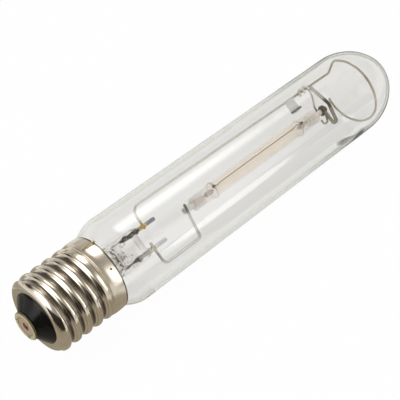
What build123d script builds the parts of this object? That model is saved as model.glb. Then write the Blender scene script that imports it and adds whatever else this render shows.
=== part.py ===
import os
from math import atan, cos, degrees, radians, sin, sqrt

from build123d import *

os.makedirs("parts", exist_ok=True)

# Millimetres. X runs along the lamp from the contact face to the dome, Z is up as the lamp lies.

# Bulb
overall_length = 250.0
bulb_radius = 23.0
bulb_wall = 1.2
dome_height = 28.0
crown_radius = 19.5
neck_gap = 1.15
neck_end = 14.0
shoulder_slope = 0.54
shoulder_rim_gap = 0.62
shoulder_radius = 16.0

# Screw cap: E40 thread on a 45 mm long cap
cap_length = 45.0
thread_pitch = 6.35
crest_radius = 19.65
thread_depth = 1.8
thread_lead_in = 4.9
run_out_gap = 5.1
run_out_turns = 0.5
run_out_rise = 2.2
root_flat = 1.4
crest_flat = 0.9
shell_sheet = 0.5
collar_height = 8.0
collar_step = 0.5
collar_proud = 0.15
nose_radius = 4.35
nose_end = 10.6

# Contact end
contact_radius = 7.45
contact_thickness = 1.2
contact_edge = 0.35
contact_recess_radius = 5.8
contact_recess_depth = 0.4
contact_hole_radius = 1.3
contact_solder_radius = 2.5
contact_solder_height = 0.25
insulator_rim = 6.56
insulator_hole_radius = 2.2
insulator_floor = 6.0
insulator_back = 9.6
insulator_wall = 5.0

# Cement and solder in and on the cap
cement_height = 16.0
rim_solder_length = 8.6
rim_solder_radius = 1.1
rim_solder_bury = 0.4
rim_solder_over = 0.7
rim_solder_angle = 83.0

# Stem
stem_radius = 8.2
stem_wall = 1.2
flare_land = 4.6
flare_height = 6.0
flare_wall = 1.2
press_start = 60.0
press_height = 11.5
press_taper = 8.0
press_thickness = 3.4
bead_radius = 2.1
bead_height = 1.6
exhaust_radius = 2.5
exhaust_wall = 0.9
exhaust_tip = 13.0
exhaust_seal = 3.0
exhaust_port_radius = 1.1

# Lead rods and lead wires, spread across the press
lead_spread = 11.5
lead_radius = 1.0
lead_depth = 9.5
lead_length = 22.5
side_lead_radius = 0.15
side_lead_depth = 11.4
side_lead_rise = 1.5
contact_lead_radius = 0.4
contact_lead_end = 0.6
contact_lead_bend = 4.0
contact_lead_turn = 1.5

# Wire mount: the plane through both lead rods is rolled about X
mount_roll = 33.9
wire_side_count = 6
coil_side_count = 4
clip_side_count = 18
touch = 0.02

frame_wire_radius = 0.7
frame_foot_drop = 8.1
frame_foot_overlap = 1.6
frame_lean = 1.5
frame_bend = 5.0
frame_inset = 3.9
ring_clearance = 3.4
ring_rise = 4.4
ring_kick = 5.4
ring_kick_bend = 2.2
ring_lead = 4.5
ring_start_angle = 28.0
ring_end_angle = 281.0

support_wire_radius = 0.65
support_foot_drop = 10.3
support_stub = 3.1
support_inset = 3.3
support_lean = 3.2
support_bend = 2.2
support_overlap = 2.8

# Arc tube and its ends
arc_tube_radius = 4.0
arc_tube_wall = 0.7
arc_gap_below = 22.0
arc_gap_above = 24.0
plug_length = 6.0
plug_fit = 0.01
feed_radius = 1.6
feed_wall = 0.4
feed_floor = 1.2
feed_past_plug = 0.5
lower_feed_length = 13.2
upper_feed_length = 15.0
electrode_radius = 0.55
electrode_length = 7.5
winding_radius = 1.25
winding_length = 4.0
winding_setback = 1.2

# Starting aid along the arc tube
aid_wire_radius = 0.22
aid_inset = 13.2
aid_angle = 72.0
aid_clip_width = 0.9
aid_clip_wall = 0.2

# Upper connections
upper_wire_radius = 0.55
coil_setback = -1.2
coil_pitch = 2.6
coil_turns = 1.5
coil_slack = 0.25
eye_start = 1.0
eye_pitch = 1.25
hook_drop = 5.6
hook_width = 1.65
hook_return = 2.4

strap_radius = 0.8
strap_setback = 1.6
strap_end_gap = 0.27
strap_knee_reach = 0.7
strap_knee_height = 1.2
strap_knee_bend = 3.0
strap_drop = 9.0
strap_loop = 2.3
strap_weld_setback = 3.8
strap_weld_height = 0.4
strap_bend = 1.0

# Getter plate on the frame wire
getter_setback = 9.8
getter_width = 6.2
getter_drop = 7.6
getter_sheet = 0.35
getter_corner = 1.4
getter_tab_width = 3.2
getter_tab_height = 1.4
getter_bar_radius = 0.55
getter_bar_overhang = 0.5

# Places worked out from the sizes above
dome_start = overall_length - dome_height
root_radius = crest_radius - thread_depth
bore_radius = root_radius - shell_sheet
neck_radius = bore_radius - neck_gap
collar_radius = crest_radius + collar_proud
collar_bore = collar_radius - shell_sheet
collar_start = cap_length - collar_height
shoulder_start = cap_length - (collar_bore - shoulder_rim_gap - neck_radius) / shoulder_slope
shoulder_end = shoulder_start + (bulb_radius - neck_radius) / shoulder_slope
press_top = press_start + press_height
lead_offset = lead_spread / 2
lead_root = press_top - lead_depth
lead_top = lead_root + lead_length
arc_tube_start = lead_top + arc_gap_below
arc_tube_end = dome_start - arc_gap_above
plug_radius = arc_tube_radius - arc_tube_wall - plug_fit
ring_x = dome_start + ring_rise
ring_radius = bulb_radius - bulb_wall - ring_clearance
frame_top_offset = ring_radius - frame_inset
frame_foot_offset = frame_top_offset + frame_lean
frame_depth = lead_radius + frame_wire_radius + touch
frame_foot = lead_top - frame_foot_drop
frame_top = ring_x - ring_kick
support_foot = lead_top - support_foot_drop
support_offset = ring_radius - support_inset
support_depth_low = lead_radius + support_wire_radius + touch
support_depth_high = feed_radius + support_wire_radius + touch
lower_feed_end = arc_tube_start + plug_length + feed_past_plug
lower_feed_start = lower_feed_end - lower_feed_length
upper_feed_start = arc_tube_end - plug_length - feed_past_plug
upper_feed_end = upper_feed_start + upper_feed_length
support_top = lower_feed_start + 2 * support_wire_radius


def frame_offset(x):
    # Distance of the leaning frame wire from the lamp axis.
    share = (x - frame_foot) / (frame_top - frame_foot)
    return frame_foot_offset + share * (frame_top_offset - frame_foot_offset)


# In this plane local x is the lamp axis, y crosses the press, and z points out of it.
mount_plane = Plane(
    origin=(0, 0, 0),
    x_dir=(1, 0, 0),
    z_dir=(0, -sin(radians(mount_roll)), cos(radians(mount_roll))),
)


def across_axis(x):
    # The plane square to the lamp axis at x, with its local x across the press.
    return Plane(
        origin=(x, 0, 0),
        x_dir=(0, cos(radians(mount_roll)), sin(radians(mount_roll))),
        z_dir=(1, 0, 0),
    )


# Clear bulb: neck, shoulder, tube and dome blown as one wall.
# The dome is a crown arc on the axis, tangent to a flatter side arc that leaves the tube.
crown_centre = overall_length - crown_radius
dome_side_radius = ((dome_height - crown_radius) ** 2 + bulb_radius**2 - crown_radius**2) / (
    2 * (bulb_radius - crown_radius)
)
side_centre = Vector(dome_start, bulb_radius - dome_side_radius)
dome_turn = (Vector(crown_centre, 0) - side_centre).normalized()
with BuildPart() as glass_envelope:
    for inset, wall_mode in ((0, Mode.ADD), (bulb_wall, Mode.SUBTRACT)):
        with BuildSketch(Plane.XY):
            with BuildLine():
                outline = FilletPolyline(
                    (shoulder_start, neck_radius - inset),
                    (shoulder_end, bulb_radius - inset),
                    (dome_start, bulb_radius - inset),
                    radius=shoulder_radius - inset,
                )
                dome_side = TangentArc(
                    outline @ 1,
                    side_centre + dome_turn * (dome_side_radius - inset),
                    tangent=(1, 0),
                )
                TangentArc(dome_side @ 1, (overall_length - inset, 0), tangent=dome_side % 1)
                Polyline(
                    (overall_length - inset, 0),
                    (neck_end, 0),
                    (neck_end, neck_radius - inset),
                    outline @ 0,
                )
            make_face()
        revolve(axis=Axis.X, mode=wall_mode)
glass_envelope.part.label = "glass_envelope"
export_step(glass_envelope.part, "parts/glass_envelope.step")

# Lead wires below the press, drawn first because the glass and cement close round them
pinch_start = press_start - press_taper
rim_direction = Vector(0, cos(radians(rim_solder_angle)), sin(radians(rim_solder_angle)))
press_direction = Vector(0, cos(radians(mount_roll)), sin(radians(mount_roll)))
side_lead_track = (neck_radius + bore_radius) / 2
rim_lead_track = collar_bore - side_lead_radius - touch
rim_lead_x = cap_length + side_lead_radius + touch


def along(x, direction, radius):
    return Vector(x, 0, 0) + direction * radius


with BuildPart() as shell_lead:
    with BuildLine() as side_route:
        Polyline(
            along(lead_root, press_direction, lead_offset),
            along(pinch_start, press_direction, lead_offset),
            along(neck_end + flare_height, rim_direction, lead_offset),
            along(side_lead_depth, rim_direction, neck_radius - flare_land / 2),
            along(side_lead_depth, rim_direction, side_lead_track),
            along(collar_start + collar_step, rim_direction, side_lead_track),
            along(cap_length - side_lead_rise, rim_direction, rim_lead_track),
            along(rim_lead_x, rim_direction, rim_lead_track),
            along(rim_lead_x, rim_direction, collar_radius + 2 * side_lead_radius),
        )
    with BuildSketch(Plane(origin=side_route.line @ 0, z_dir=side_route.line % 0)):
        RegularPolygon(side_lead_radius, wire_side_count)
    sweep(transition=Transition.RIGHT)
shell_lead.part.label = "shell_lead"
export_step(shell_lead.part, "parts/shell_lead.step")

with BuildPart() as contact_lead:
    with BuildLine(mount_plane) as contact_route:
        FilletPolyline(
            (lead_root, -lead_offset, 0),
            (exhaust_tip, -lead_offset, 0),
            (insulator_floor + 1.6, 0, 0),
            (contact_lead_end, 0, 0),
            radius=(contact_lead_bend, contact_lead_turn),
        )
    with BuildSketch(Plane(origin=contact_route.line @ 0, z_dir=contact_route.line % 0)):
        RegularPolygon(contact_lead_radius, wire_side_count)
    sweep()
contact_lead.part.label = "contact_lead"
export_step(contact_lead.part, "parts/contact_lead.step")

# Stem: flare sealed to the neck, tube, pinched press and exhaust tube in one glass piece
pinch_plane = Plane(origin=(0, 0, 0), x_dir=(1, 0, 0), z_dir=press_direction)
with BuildPart() as stem_tube:
    with BuildSketch(Plane.XY):
        with BuildLine():
            Polyline(
                (neck_end, neck_radius),
                (neck_end, neck_radius - flare_land),
                (neck_end + flare_height, stem_radius),
                (pinch_start, stem_radius),
                (pinch_start, stem_radius - stem_wall),
                (neck_end + flare_height, stem_radius - stem_wall),
                (neck_end - flare_wall, neck_radius - flare_land - flare_wall / 2),
                (neck_end - flare_wall, neck_radius),
                close=True,
            )
        make_face()
    revolve(axis=Axis.X)

# The end of the tube, pinched from both sides into the press.
with BuildPart() as pinched_end:
    with BuildSketch(across_axis(pinch_start)):
        Circle(stem_radius)
    extrude(amount=press_top - pinch_start)
    with BuildSketch(pinch_plane):
        with BuildLine():
            Polyline(
                (pinch_start, stem_radius + stem_wall),
                (press_start, press_thickness / 2),
                (press_top, press_thickness / 2),
                (press_top, -press_thickness / 2),
                (press_start, -press_thickness / 2),
                (pinch_start, -stem_radius - stem_wall),
                close=True,
            )
        make_face()
    extrude(amount=stem_radius, both=True, mode=Mode.INTERSECT)

with BuildPart() as pinched_hollow:
    with BuildSketch(across_axis(pinch_start)):
        Circle(stem_radius - stem_wall)
    extrude(amount=press_taper)
    with BuildSketch(pinch_plane):
        with BuildLine():
            Polyline(
                (pinch_start, stem_radius),
                (press_start - exhaust_seal, exhaust_radius - stem_wall / 2),
                (press_start - exhaust_seal, stem_wall / 2 - exhaust_radius),
                (pinch_start, -stem_radius),
                close=True,
            )
        make_face()
    extrude(amount=stem_radius, both=True, mode=Mode.INTERSECT)

with BuildPart() as exhaust_bore:
    with BuildSketch(across_axis(exhaust_tip + exhaust_wall)):
        Circle(exhaust_radius - exhaust_wall)
    extrude(amount=press_start - exhaust_tip)
    with BuildSketch(mount_plane.offset(press_thickness)):
        with Locations((press_start + exhaust_wall - exhaust_port_radius, 0)):
            Circle(exhaust_port_radius)
    extrude(amount=-press_thickness)

with BuildPart() as exhaust_tube:
    with BuildSketch(across_axis(exhaust_tip)):
        Circle(exhaust_radius)
    extrude(amount=press_start - exhaust_tip)

with BuildPart() as lead_beads:
    with BuildSketch(across_axis(press_start)):
        with Locations((lead_offset, 0), (-lead_offset, 0)):
            Circle(bead_radius)
    extrude(amount=press_height + bead_height)

with BuildPart() as stem:
    add(stem_tube.part)
    add(pinched_end.part)
    add(pinched_hollow.part, mode=Mode.SUBTRACT)
    add(exhaust_tube.part)
    add(lead_beads.part)
    add(exhaust_bore.part, mode=Mode.SUBTRACT)
    with BuildSketch(across_axis(lead_root)):
        with Locations((lead_offset, 0), (-lead_offset, 0)):
            Circle(lead_radius)
    extrude(amount=lead_length, mode=Mode.SUBTRACT)
    add(shell_lead.part, mode=Mode.SUBTRACT)
    add(contact_lead.part, mode=Mode.SUBTRACT)
stem.part.label = "stem"
export_step(stem.part, "parts/stem.step")

# Lead rods above the press
for node, side in (("frame_lead", 1), ("support_lead", -1)):
    with BuildPart() as lead_rod:
        with BuildSketch(across_axis(lead_root)):
            with Locations((side * lead_offset, 0)):
                Circle(lead_radius)
        extrude(amount=lead_top - lead_root)
    lead_rod.part.label = node
    export_step(lead_rod.part, f"parts/{node}.step")

# Rolled screw shell: nose, helical thread and plain collar
thread_middle = (crest_radius + root_radius) / 2
# Half of the groove across the thread, from its mouth down to its flat root.
groove_half = [
    (crest_radius + shell_sheet - thread_middle, (thread_pitch - crest_flat) / 2),
    (crest_radius + touch - thread_middle, (thread_pitch - crest_flat) / 2),
    (root_radius - thread_middle, root_flat / 2),
]
run_out_start = collar_start - run_out_gap
thread_turns = (run_out_start - thread_lead_in) / thread_pitch
run_out_cone = degrees(atan(run_out_rise / (run_out_turns * thread_pitch)))
groove_cuts = []
for start, turns, cone in (
    (thread_lead_in, thread_turns, 0),
    (run_out_start, run_out_turns, run_out_cone),
):
    with BuildPart() as groove:
        with BuildLine() as spiral:
            Helix(
                thread_pitch,
                turns * thread_pitch,
                thread_middle,
                center=(start, 0, 0),
                direction=(1, 0, 0),
                cone_angle=cone,
            )
        with BuildSketch(
            Plane(origin=spiral.line @ 0, x_dir=(0, 0, 1), z_dir=spiral.line % 0)
        ):
            with BuildLine():
                Polyline(
                    *[(height, -half_width) for height, half_width in groove_half],
                    *[(height, half_width) for height, half_width in reversed(groove_half)],
                    close=True,
                )
            make_face()
        sweep(is_frenet=True)
    groove_cuts.append(groove.part)

# The nose rounds in from the crests to the rim that grips the insulator.
nose_centre = crest_radius - nose_radius
nose_chord = nose_end - insulator_rim
nose_rise = sqrt(nose_radius**2 - nose_chord**2)
insulator_rim_radius = nose_centre - nose_rise
nose_slant = nose_radius * sin(radians(45))
seat_start = insulator_rim + shell_sheet
seat_radius = nose_centre
with BuildPart() as screw_shell:
    with BuildSketch(Plane.XY):
        with BuildLine():
            Polyline(
                (insulator_rim, insulator_rim_radius),
                (nose_end - nose_radius, nose_centre),
                (nose_end - nose_slant, nose_centre + nose_slant),
                (nose_end, crest_radius),
                (collar_start, crest_radius),
                (collar_start, collar_radius),
                (cap_length, collar_radius),
                (cap_length, collar_bore),
                (collar_start + collar_step, collar_bore),
                (collar_start + collar_step, bore_radius),
                (insulator_back, bore_radius),
                (insulator_back, seat_radius),
                (seat_start, seat_radius),
                (seat_start, insulator_rim_radius),
                close=True,
            )
        make_face()
    revolve(axis=Axis.X)
    add(groove_cuts[0], mode=Mode.SUBTRACT)
    add(groove_cuts[1], rotation=(360 * thread_turns, 0, 0), mode=Mode.SUBTRACT)
screw_shell.part.label = "screw_shell"
export_step(screw_shell.part, "parts/screw_shell.step")

# Black glass insulator held in the nose of the shell
with BuildPart() as cap_insulator:
    with BuildSketch(Plane.XY):
        with BuildLine():
            Polyline(
                (contact_thickness, insulator_hole_radius),
                (contact_thickness, contact_radius - 2 * contact_edge),
                (insulator_rim, insulator_rim_radius - touch),
                (seat_start, insulator_rim_radius - touch),
                (seat_start, seat_radius - touch),
                (insulator_back, seat_radius - touch),
                (insulator_back, seat_radius - insulator_wall),
                (insulator_floor, seat_radius - insulator_wall),
                (insulator_floor, insulator_hole_radius),
                close=True,
            )
        make_face()
    revolve(axis=Axis.X)
cap_insulator.part.label = "cap_insulator"
export_step(cap_insulator.part, "parts/cap_insulator.step")

# Brass centre contact, dished, with the lead soldered in its hole
with BuildPart() as centre_contact:
    with BuildSketch(Plane.XY):
        with BuildLine():
            Polyline(
                (contact_recess_depth, contact_hole_radius),
                (contact_recess_depth, contact_recess_radius - contact_recess_depth),
                (0, contact_recess_radius),
                (0, contact_radius - contact_edge),
                (contact_edge, contact_radius),
                (contact_thickness, contact_radius),
                (contact_thickness, contact_hole_radius),
                close=True,
            )
        make_face()
    revolve(axis=Axis.X)
centre_contact.part.label = "centre_contact"
export_step(centre_contact.part, "parts/centre_contact.step")

with BuildPart() as contact_solder:
    with BuildSketch(Plane.XY):
        with BuildLine():
            Polyline(
                (contact_recess_depth - contact_solder_height, 0),
                (contact_recess_depth - contact_solder_height, contact_hole_radius),
                (contact_recess_depth, contact_solder_radius),
                (contact_recess_depth, contact_hole_radius - touch),
                (contact_thickness + contact_recess_depth, contact_hole_radius - touch),
                (contact_thickness + contact_recess_depth, 0),
                close=True,
            )
        make_face()
    revolve(axis=Axis.X)
    add(contact_lead.part, mode=Mode.SUBTRACT)
contact_solder.part.label = "contact_solder"
export_step(contact_solder.part, "parts/contact_solder.step")

# Solder run over the collar rim, where the side lead comes out
rim_solder_axis = Plane(
    origin=(cap_length + rim_solder_over, 0, 0), x_dir=rim_direction, z_dir=(-1, 0, 0)
)
with BuildPart() as bulb_outside:
    with BuildSketch(Plane.XY):
        with BuildLine():
            Polyline(
                (neck_end, 0),
                (neck_end, neck_radius),
                (shoulder_start, neck_radius + touch),
                (shoulder_end, bulb_radius + touch),
                (shoulder_end, 0),
                close=True,
            )
        make_face()
    revolve(axis=Axis.X)

with BuildPart() as rim_solder:
    with BuildSketch(rim_solder_axis):
        with Locations((collar_radius - rim_solder_bury, 0)):
            Circle(rim_solder_radius)
    extrude(amount=rim_solder_length, taper=4)
    with BuildSketch(rim_solder_axis):
        Circle(collar_radius + touch)
    extrude(amount=rim_solder_length, mode=Mode.SUBTRACT)
    with BuildSketch(rim_solder_axis):
        with Locations((collar_radius, 0)):
            Rectangle(rim_solder_radius, 1.4 * rim_solder_radius)
    extrude(amount=rim_solder_over - touch)
    add(bulb_outside.part, mode=Mode.SUBTRACT)
    add(shell_lead.part, mode=Mode.SUBTRACT)
rim_solder.part.label = "rim_solder"
export_step(rim_solder.part, "parts/rim_solder.step")

# Cement ring between the shell and the neck
cement_end = collar_start
with BuildPart() as cap_cement:
    with BuildSketch(across_axis(cement_end)):
        Circle(bore_radius - touch)
        Circle(neck_radius + touch, mode=Mode.SUBTRACT)
    extrude(amount=-cement_height)
    add(shell_lead.part, mode=Mode.SUBTRACT)
cap_cement.part.label = "cap_cement"
export_step(cap_cement.part, "parts/cap_cement.step")

# Frame wire: welded beside its lead rod, up the bulb and round the dome in an open ring
ring_start = Vector(
    ring_radius * cos(radians(ring_start_angle)), ring_radius * sin(radians(ring_start_angle))
)
ring_turn = Vector(-sin(radians(ring_start_angle)), cos(radians(ring_start_angle)))
ring_corner = ring_start - ring_turn * ring_lead
ring_middle_angle = radians((ring_start_angle + ring_end_angle) / 2)
with BuildPart() as frame_wire:
    with BuildLine(mount_plane) as frame_route:
        FilletPolyline(
            (frame_foot, lead_offset - frame_foot_overlap, frame_depth),
            (frame_foot, frame_foot_offset, frame_depth),
            (frame_top, frame_top_offset, frame_depth),
            (ring_x, ring_corner.X, ring_corner.Y),
            (ring_x, ring_start.X, ring_start.Y),
            radius=(frame_bend, ring_kick_bend, ring_kick_bend),
        )
        ThreePointArc(
            (ring_x, ring_start.X, ring_start.Y),
            (ring_x, ring_radius * cos(ring_middle_angle), ring_radius * sin(ring_middle_angle)),
            (
                ring_x,
                ring_radius * cos(radians(ring_end_angle)),
                ring_radius * sin(radians(ring_end_angle)),
            ),
        )
    with BuildSketch(Plane(origin=frame_route.line @ 0, z_dir=frame_route.line % 0)):
        RegularPolygon(frame_wire_radius, wire_side_count)
    sweep()
frame_wire.part.label = "frame_wire"
export_step(frame_wire.part, "parts/frame_wire.step")

# Lower support: from the other lead rod, out and up, back to the lower feedthrough
with BuildPart() as lower_support_wire:
    with BuildLine(mount_plane) as support_route:
        FilletPolyline(
            (support_foot, support_stub - lead_offset, support_depth_low),
            (support_foot, -support_offset, support_depth_low),
            (support_top - support_lean, -support_offset, support_depth_high),
            (support_top, support_overlap, support_depth_high),
            radius=support_bend,
        )
    with BuildSketch(Plane(origin=support_route.line @ 0, z_dir=support_route.line % 0)):
        RegularPolygon(support_wire_radius, wire_side_count)
    sweep()
lower_support_wire.part.label = "lower_support_wire"
export_step(lower_support_wire.part, "parts/lower_support_wire.step")

# Ceramic arc tube, its end plugs, and the feedthroughs that carry the electrodes
with BuildPart() as arc_tube:
    with BuildSketch(across_axis(arc_tube_start)):
        Circle(arc_tube_radius)
        Circle(arc_tube_radius - arc_tube_wall, mode=Mode.SUBTRACT)
    extrude(amount=arc_tube_end - arc_tube_start)
arc_tube.part.label = "arc_tube"
export_step(arc_tube.part, "parts/arc_tube.step")

for node, start in (
    ("lower_end_plug", arc_tube_start),
    ("upper_end_plug", arc_tube_end - plug_length),
):
    with BuildPart() as end_plug:
        with BuildSketch(across_axis(start)):
            Circle(plug_radius)
            Circle(feed_radius + plug_fit, mode=Mode.SUBTRACT)
        extrude(amount=plug_length)
    end_plug.part.label = node
    export_step(end_plug.part, f"parts/{node}.step")

# Each end is drawn from the face inside the arc tube: outwards for the feedthrough,
# inwards for the electrode.
for end, face, outwards, feed_length in (
    ("lower", lower_feed_end, -1, lower_feed_length),
    ("upper", upper_feed_start, 1, upper_feed_length),
):
    with BuildPart() as feedthrough:
        with BuildSketch(across_axis(face)):
            Circle(feed_radius)
        extrude(amount=outwards * feed_length)
        with BuildSketch(across_axis(face + outwards * feed_floor)):
            Circle(feed_radius - feed_wall)
        extrude(amount=outwards * feed_length, mode=Mode.SUBTRACT)
    feedthrough.part.label = end + "_feedthrough"
    export_step(feedthrough.part, f"parts/{end}_feedthrough.step")

    with BuildPart() as electrode:
        with BuildSketch(across_axis(face)):
            RegularPolygon(electrode_radius, wire_side_count)
        extrude(amount=-outwards * electrode_length)
        winding_face = face - outwards * (electrode_length - winding_setback)
        with BuildSketch(across_axis(winding_face)):
            RegularPolygon(winding_radius, 2 * wire_side_count)
        extrude(amount=outwards * winding_length)
    electrode.part.label = end + "_electrode"
    export_step(electrode.part, f"parts/{end}_electrode.step")

# Starting aid: a fine wire laid along the arc tube between two clips
aid_track = arc_tube_radius + aid_wire_radius + touch
aid_start = arc_tube_start + aid_inset
aid_length = arc_tube_end - arc_tube_start - 2 * aid_inset
with BuildPart() as starting_aid_wire:
    with BuildSketch(across_axis(aid_start)):
        with Locations((aid_track * cos(radians(aid_angle)), aid_track * sin(radians(aid_angle)))):
            RegularPolygon(aid_wire_radius, wire_side_count)
    extrude(amount=aid_length)
    for clip_start in (aid_start, aid_start + aid_length - aid_clip_width):
        with BuildSketch(across_axis(clip_start)):
            RegularPolygon(arc_tube_radius + touch + aid_clip_wall, clip_side_count, major_radius=False)
            RegularPolygon(
                arc_tube_radius + touch, clip_side_count, major_radius=False, mode=Mode.SUBTRACT
            )
        extrude(amount=aid_clip_width)
starting_aid_wire.part.label = "starting_aid_wire"
export_step(starting_aid_wire.part, "parts/starting_aid_wire.step")

# Upper support: coiled on the frame wire, then an eye round the feedthrough and a hook
# A helix along X starts straight up, this far round from the press direction.
helix_angle = 90 - mount_roll
coil_start = arc_tube_end - coil_setback
coil_end = coil_start + coil_turns * coil_pitch
coil_middle = (coil_start + coil_end) / 2
coil_radius = frame_wire_radius + upper_wire_radius + coil_slack
coil_centre = Vector(coil_start, frame_offset(coil_middle), frame_depth)
coil_last = radians(helix_angle + 360 * coil_turns)
eye_x = arc_tube_end + eye_start
eye_radius = feed_radius + upper_wire_radius + touch
hook_x = eye_x + eye_pitch
hook_tip = -feed_radius - hook_drop
with BuildPart() as upper_support_wire:
    with BuildLine() as coil_route:
        Helix(
            coil_pitch,
            coil_turns * coil_pitch,
            coil_radius,
            center=mount_plane.from_local_coords(coil_centre),
            direction=(1, 0, 0),
        )
    with BuildSketch(
        Plane(origin=coil_route.line @ 0, x_dir=(0, 0, 1), z_dir=coil_route.line % 0)
    ):
        RegularPolygon(upper_wire_radius, coil_side_count)
    sweep(is_frenet=True)
    with BuildLine(mount_plane) as leg_route:
        Line(
            (
                coil_end,
                coil_centre.Y + coil_radius * cos(coil_last),
                coil_centre.Z + coil_radius * sin(coil_last),
            ),
            (eye_x, upper_wire_radius, eye_radius),
        )
    with BuildSketch(Plane(origin=leg_route.line @ 0, z_dir=leg_route.line % 0)):
        RegularPolygon(upper_wire_radius, wire_side_count)
    sweep()
    with BuildSketch(mount_plane):
        with Locations((eye_x, eye_radius)):
            RegularPolygon(upper_wire_radius, coil_side_count)
    revolve(axis=Axis.X)
    with BuildLine(mount_plane) as hook_route:
        Polyline(
            (eye_x, -upper_wire_radius, eye_radius),
            (hook_x, hook_tip + hook_return, eye_radius),
            (hook_x, hook_tip, eye_radius),
            (hook_x - hook_width, hook_tip, eye_radius),
            (hook_x - hook_width, hook_tip + hook_return, eye_radius),
        )
    with BuildSketch(Plane(origin=hook_route.line @ 0, z_dir=hook_route.line % 0)):
        RegularPolygon(upper_wire_radius, wire_side_count)
    sweep(transition=Transition.RIGHT)
upper_support_wire.part.label = "upper_support_wire"
export_step(upper_support_wire.part, "parts/upper_support_wire.step")

# Flexible strap: from the frame wire, past the feedthrough and back to its weld
strap_depth = feed_radius + strap_radius + touch
strap_top = upper_feed_end - strap_setback
strap_knee = upper_feed_end + strap_knee_reach
strap_weld = upper_feed_end - strap_weld_setback
with BuildPart() as flexible_strap:
    with BuildLine(mount_plane) as strap_route:
        FilletPolyline(
            (strap_top, frame_offset(strap_top) - frame_wire_radius - strap_end_gap, strap_depth),
            (strap_knee, strap_knee_height, strap_depth),
            (strap_weld + strap_loop, -strap_drop, strap_depth),
            (strap_weld, -strap_drop, strap_depth),
            (strap_weld, strap_weld_height, strap_depth),
            radius=(strap_knee_bend, strap_bend, strap_bend),
        )
    with BuildSketch(Plane(origin=strap_route.line @ 0, z_dir=strap_route.line % 0)):
        RegularPolygon(strap_radius, wire_side_count)
    sweep()
flexible_strap.part.label = "flexible_strap"
export_step(flexible_strap.part, "parts/flexible_strap.step")

# Getter: a small plate welded to the front of the frame wire, with a bar along its foot
getter_x = arc_tube_end - getter_setback
getter_depth = frame_depth + frame_wire_radius + touch
getter_height = frame_offset(getter_x)
with BuildPart() as getter_plate:
    with BuildSketch(mount_plane.offset(getter_depth)) as plate_face:
        with Locations((getter_x, getter_height - getter_drop / 2)):
            Rectangle(getter_width, getter_drop)
        fillet(plate_face.vertices(), radius=getter_corner)
        with Locations((getter_x, getter_height)):
            Rectangle(getter_tab_width, 2 * getter_tab_height)
    extrude(amount=getter_sheet)
getter_plate.part.label = "getter_plate"
export_step(getter_plate.part, "parts/getter_plate.step")

bar_length = getter_width + 2 * getter_bar_overhang
bar_height = getter_height - getter_drop + 2 * getter_bar_radius
bar_depth = getter_depth + getter_sheet + getter_bar_radius + touch
with BuildPart() as getter_bar:
    with BuildSketch(across_axis(getter_x - bar_length / 2)):
        with Locations((bar_height, bar_depth)):
            RegularPolygon(getter_bar_radius, wire_side_count)
    extrude(amount=bar_length)
getter_bar.part.label = "getter_bar"
export_step(getter_bar.part, "parts/getter_bar.step")
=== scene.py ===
import math

import bpy
from mathutils import Matrix, Vector, noise


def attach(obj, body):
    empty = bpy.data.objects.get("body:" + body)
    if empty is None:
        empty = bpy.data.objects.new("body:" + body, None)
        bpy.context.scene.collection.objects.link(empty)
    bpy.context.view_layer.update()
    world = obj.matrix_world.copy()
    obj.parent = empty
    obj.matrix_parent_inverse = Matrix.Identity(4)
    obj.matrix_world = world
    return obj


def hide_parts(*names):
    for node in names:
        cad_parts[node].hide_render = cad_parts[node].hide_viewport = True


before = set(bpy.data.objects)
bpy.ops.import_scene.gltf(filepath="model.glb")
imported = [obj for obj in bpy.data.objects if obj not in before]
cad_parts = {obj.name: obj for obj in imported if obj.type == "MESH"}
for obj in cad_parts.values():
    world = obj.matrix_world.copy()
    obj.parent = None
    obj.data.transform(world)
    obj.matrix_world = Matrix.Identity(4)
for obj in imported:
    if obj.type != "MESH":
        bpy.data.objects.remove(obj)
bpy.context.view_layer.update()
mm = 0.001  # every size below is in millimetres, the scene is in metres
mergeGap = 1e-6  # points closer than this are one, in metres
mountRoll = math.radians(33.9)  # the plane through both lead rods, turned about the lamp's axis
print("frame loaded:", len(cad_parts), "pieces")


# small helpers

def clearSelection():
    if bpy.context.mode != "OBJECT":
        bpy.ops.object.mode_set(mode="OBJECT")
    bpy.ops.object.select_all(action="DESELECT")


def pickOnly(piece):
    clearSelection()
    piece.select_set(True)
    bpy.context.view_layer.objects.active = piece


def inMount(x, across, out):
    # along the lamp, across the press, out of the press plane
    c, s = math.cos(mountRoll), math.sin(mountRoll)
    return Vector((x, across * c - out * s, across * s + out * c)) * mm


def mountPath(places):
    return [inMount(*place) for place in places]


def roundMount(x, radius, angle):
    # on a circle about the lamp's axis, counted from the press plane
    return inMount(x, radius * math.cos(angle), radius * math.sin(angle))


def roundLamp(x, radius, angle):
    # on a circle about the lamp's axis, counted from the side
    return Vector((x, radius * math.cos(angle), radius * math.sin(angle))) * mm


def arcPoints(centre, radius, start, end, count):
    turns = [math.radians(start + (end - start) * i / count) for i in range(count + 1)]
    return [(centre[0] + radius * math.cos(a), centre[1] + radius * math.sin(a)) for a in turns]


def easeIn(value, low, high):
    share = min(1.0, max(0.0, (value - low) / (high - low)))
    return share * share * (3 - 2 * share)


def softMin(a, b, blend):
    near = max(blend - abs(a - b), 0.0) / blend
    return min(a, b) - near * near * blend / 4


def tidyMesh(piece):
    pickOnly(piece)
    editAll()
    bpy.ops.mesh.remove_doubles(threshold=mergeGap)
    bpy.ops.mesh.normals_make_consistent(inside=False)
    bpy.ops.object.mode_set(mode="OBJECT")


def useModifier(piece, kind, **settings):
    pickOnly(piece)
    made = piece.modifiers.new(kind.lower(), kind)
    for name, value in settings.items():
        setattr(made, name, value)
    bpy.ops.object.modifier_apply(modifier=made.name)


def addNew(name, addOne, **settings):
    clearSelection()
    addOne(**settings)
    made = bpy.context.object
    made.name = name
    return made


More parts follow.
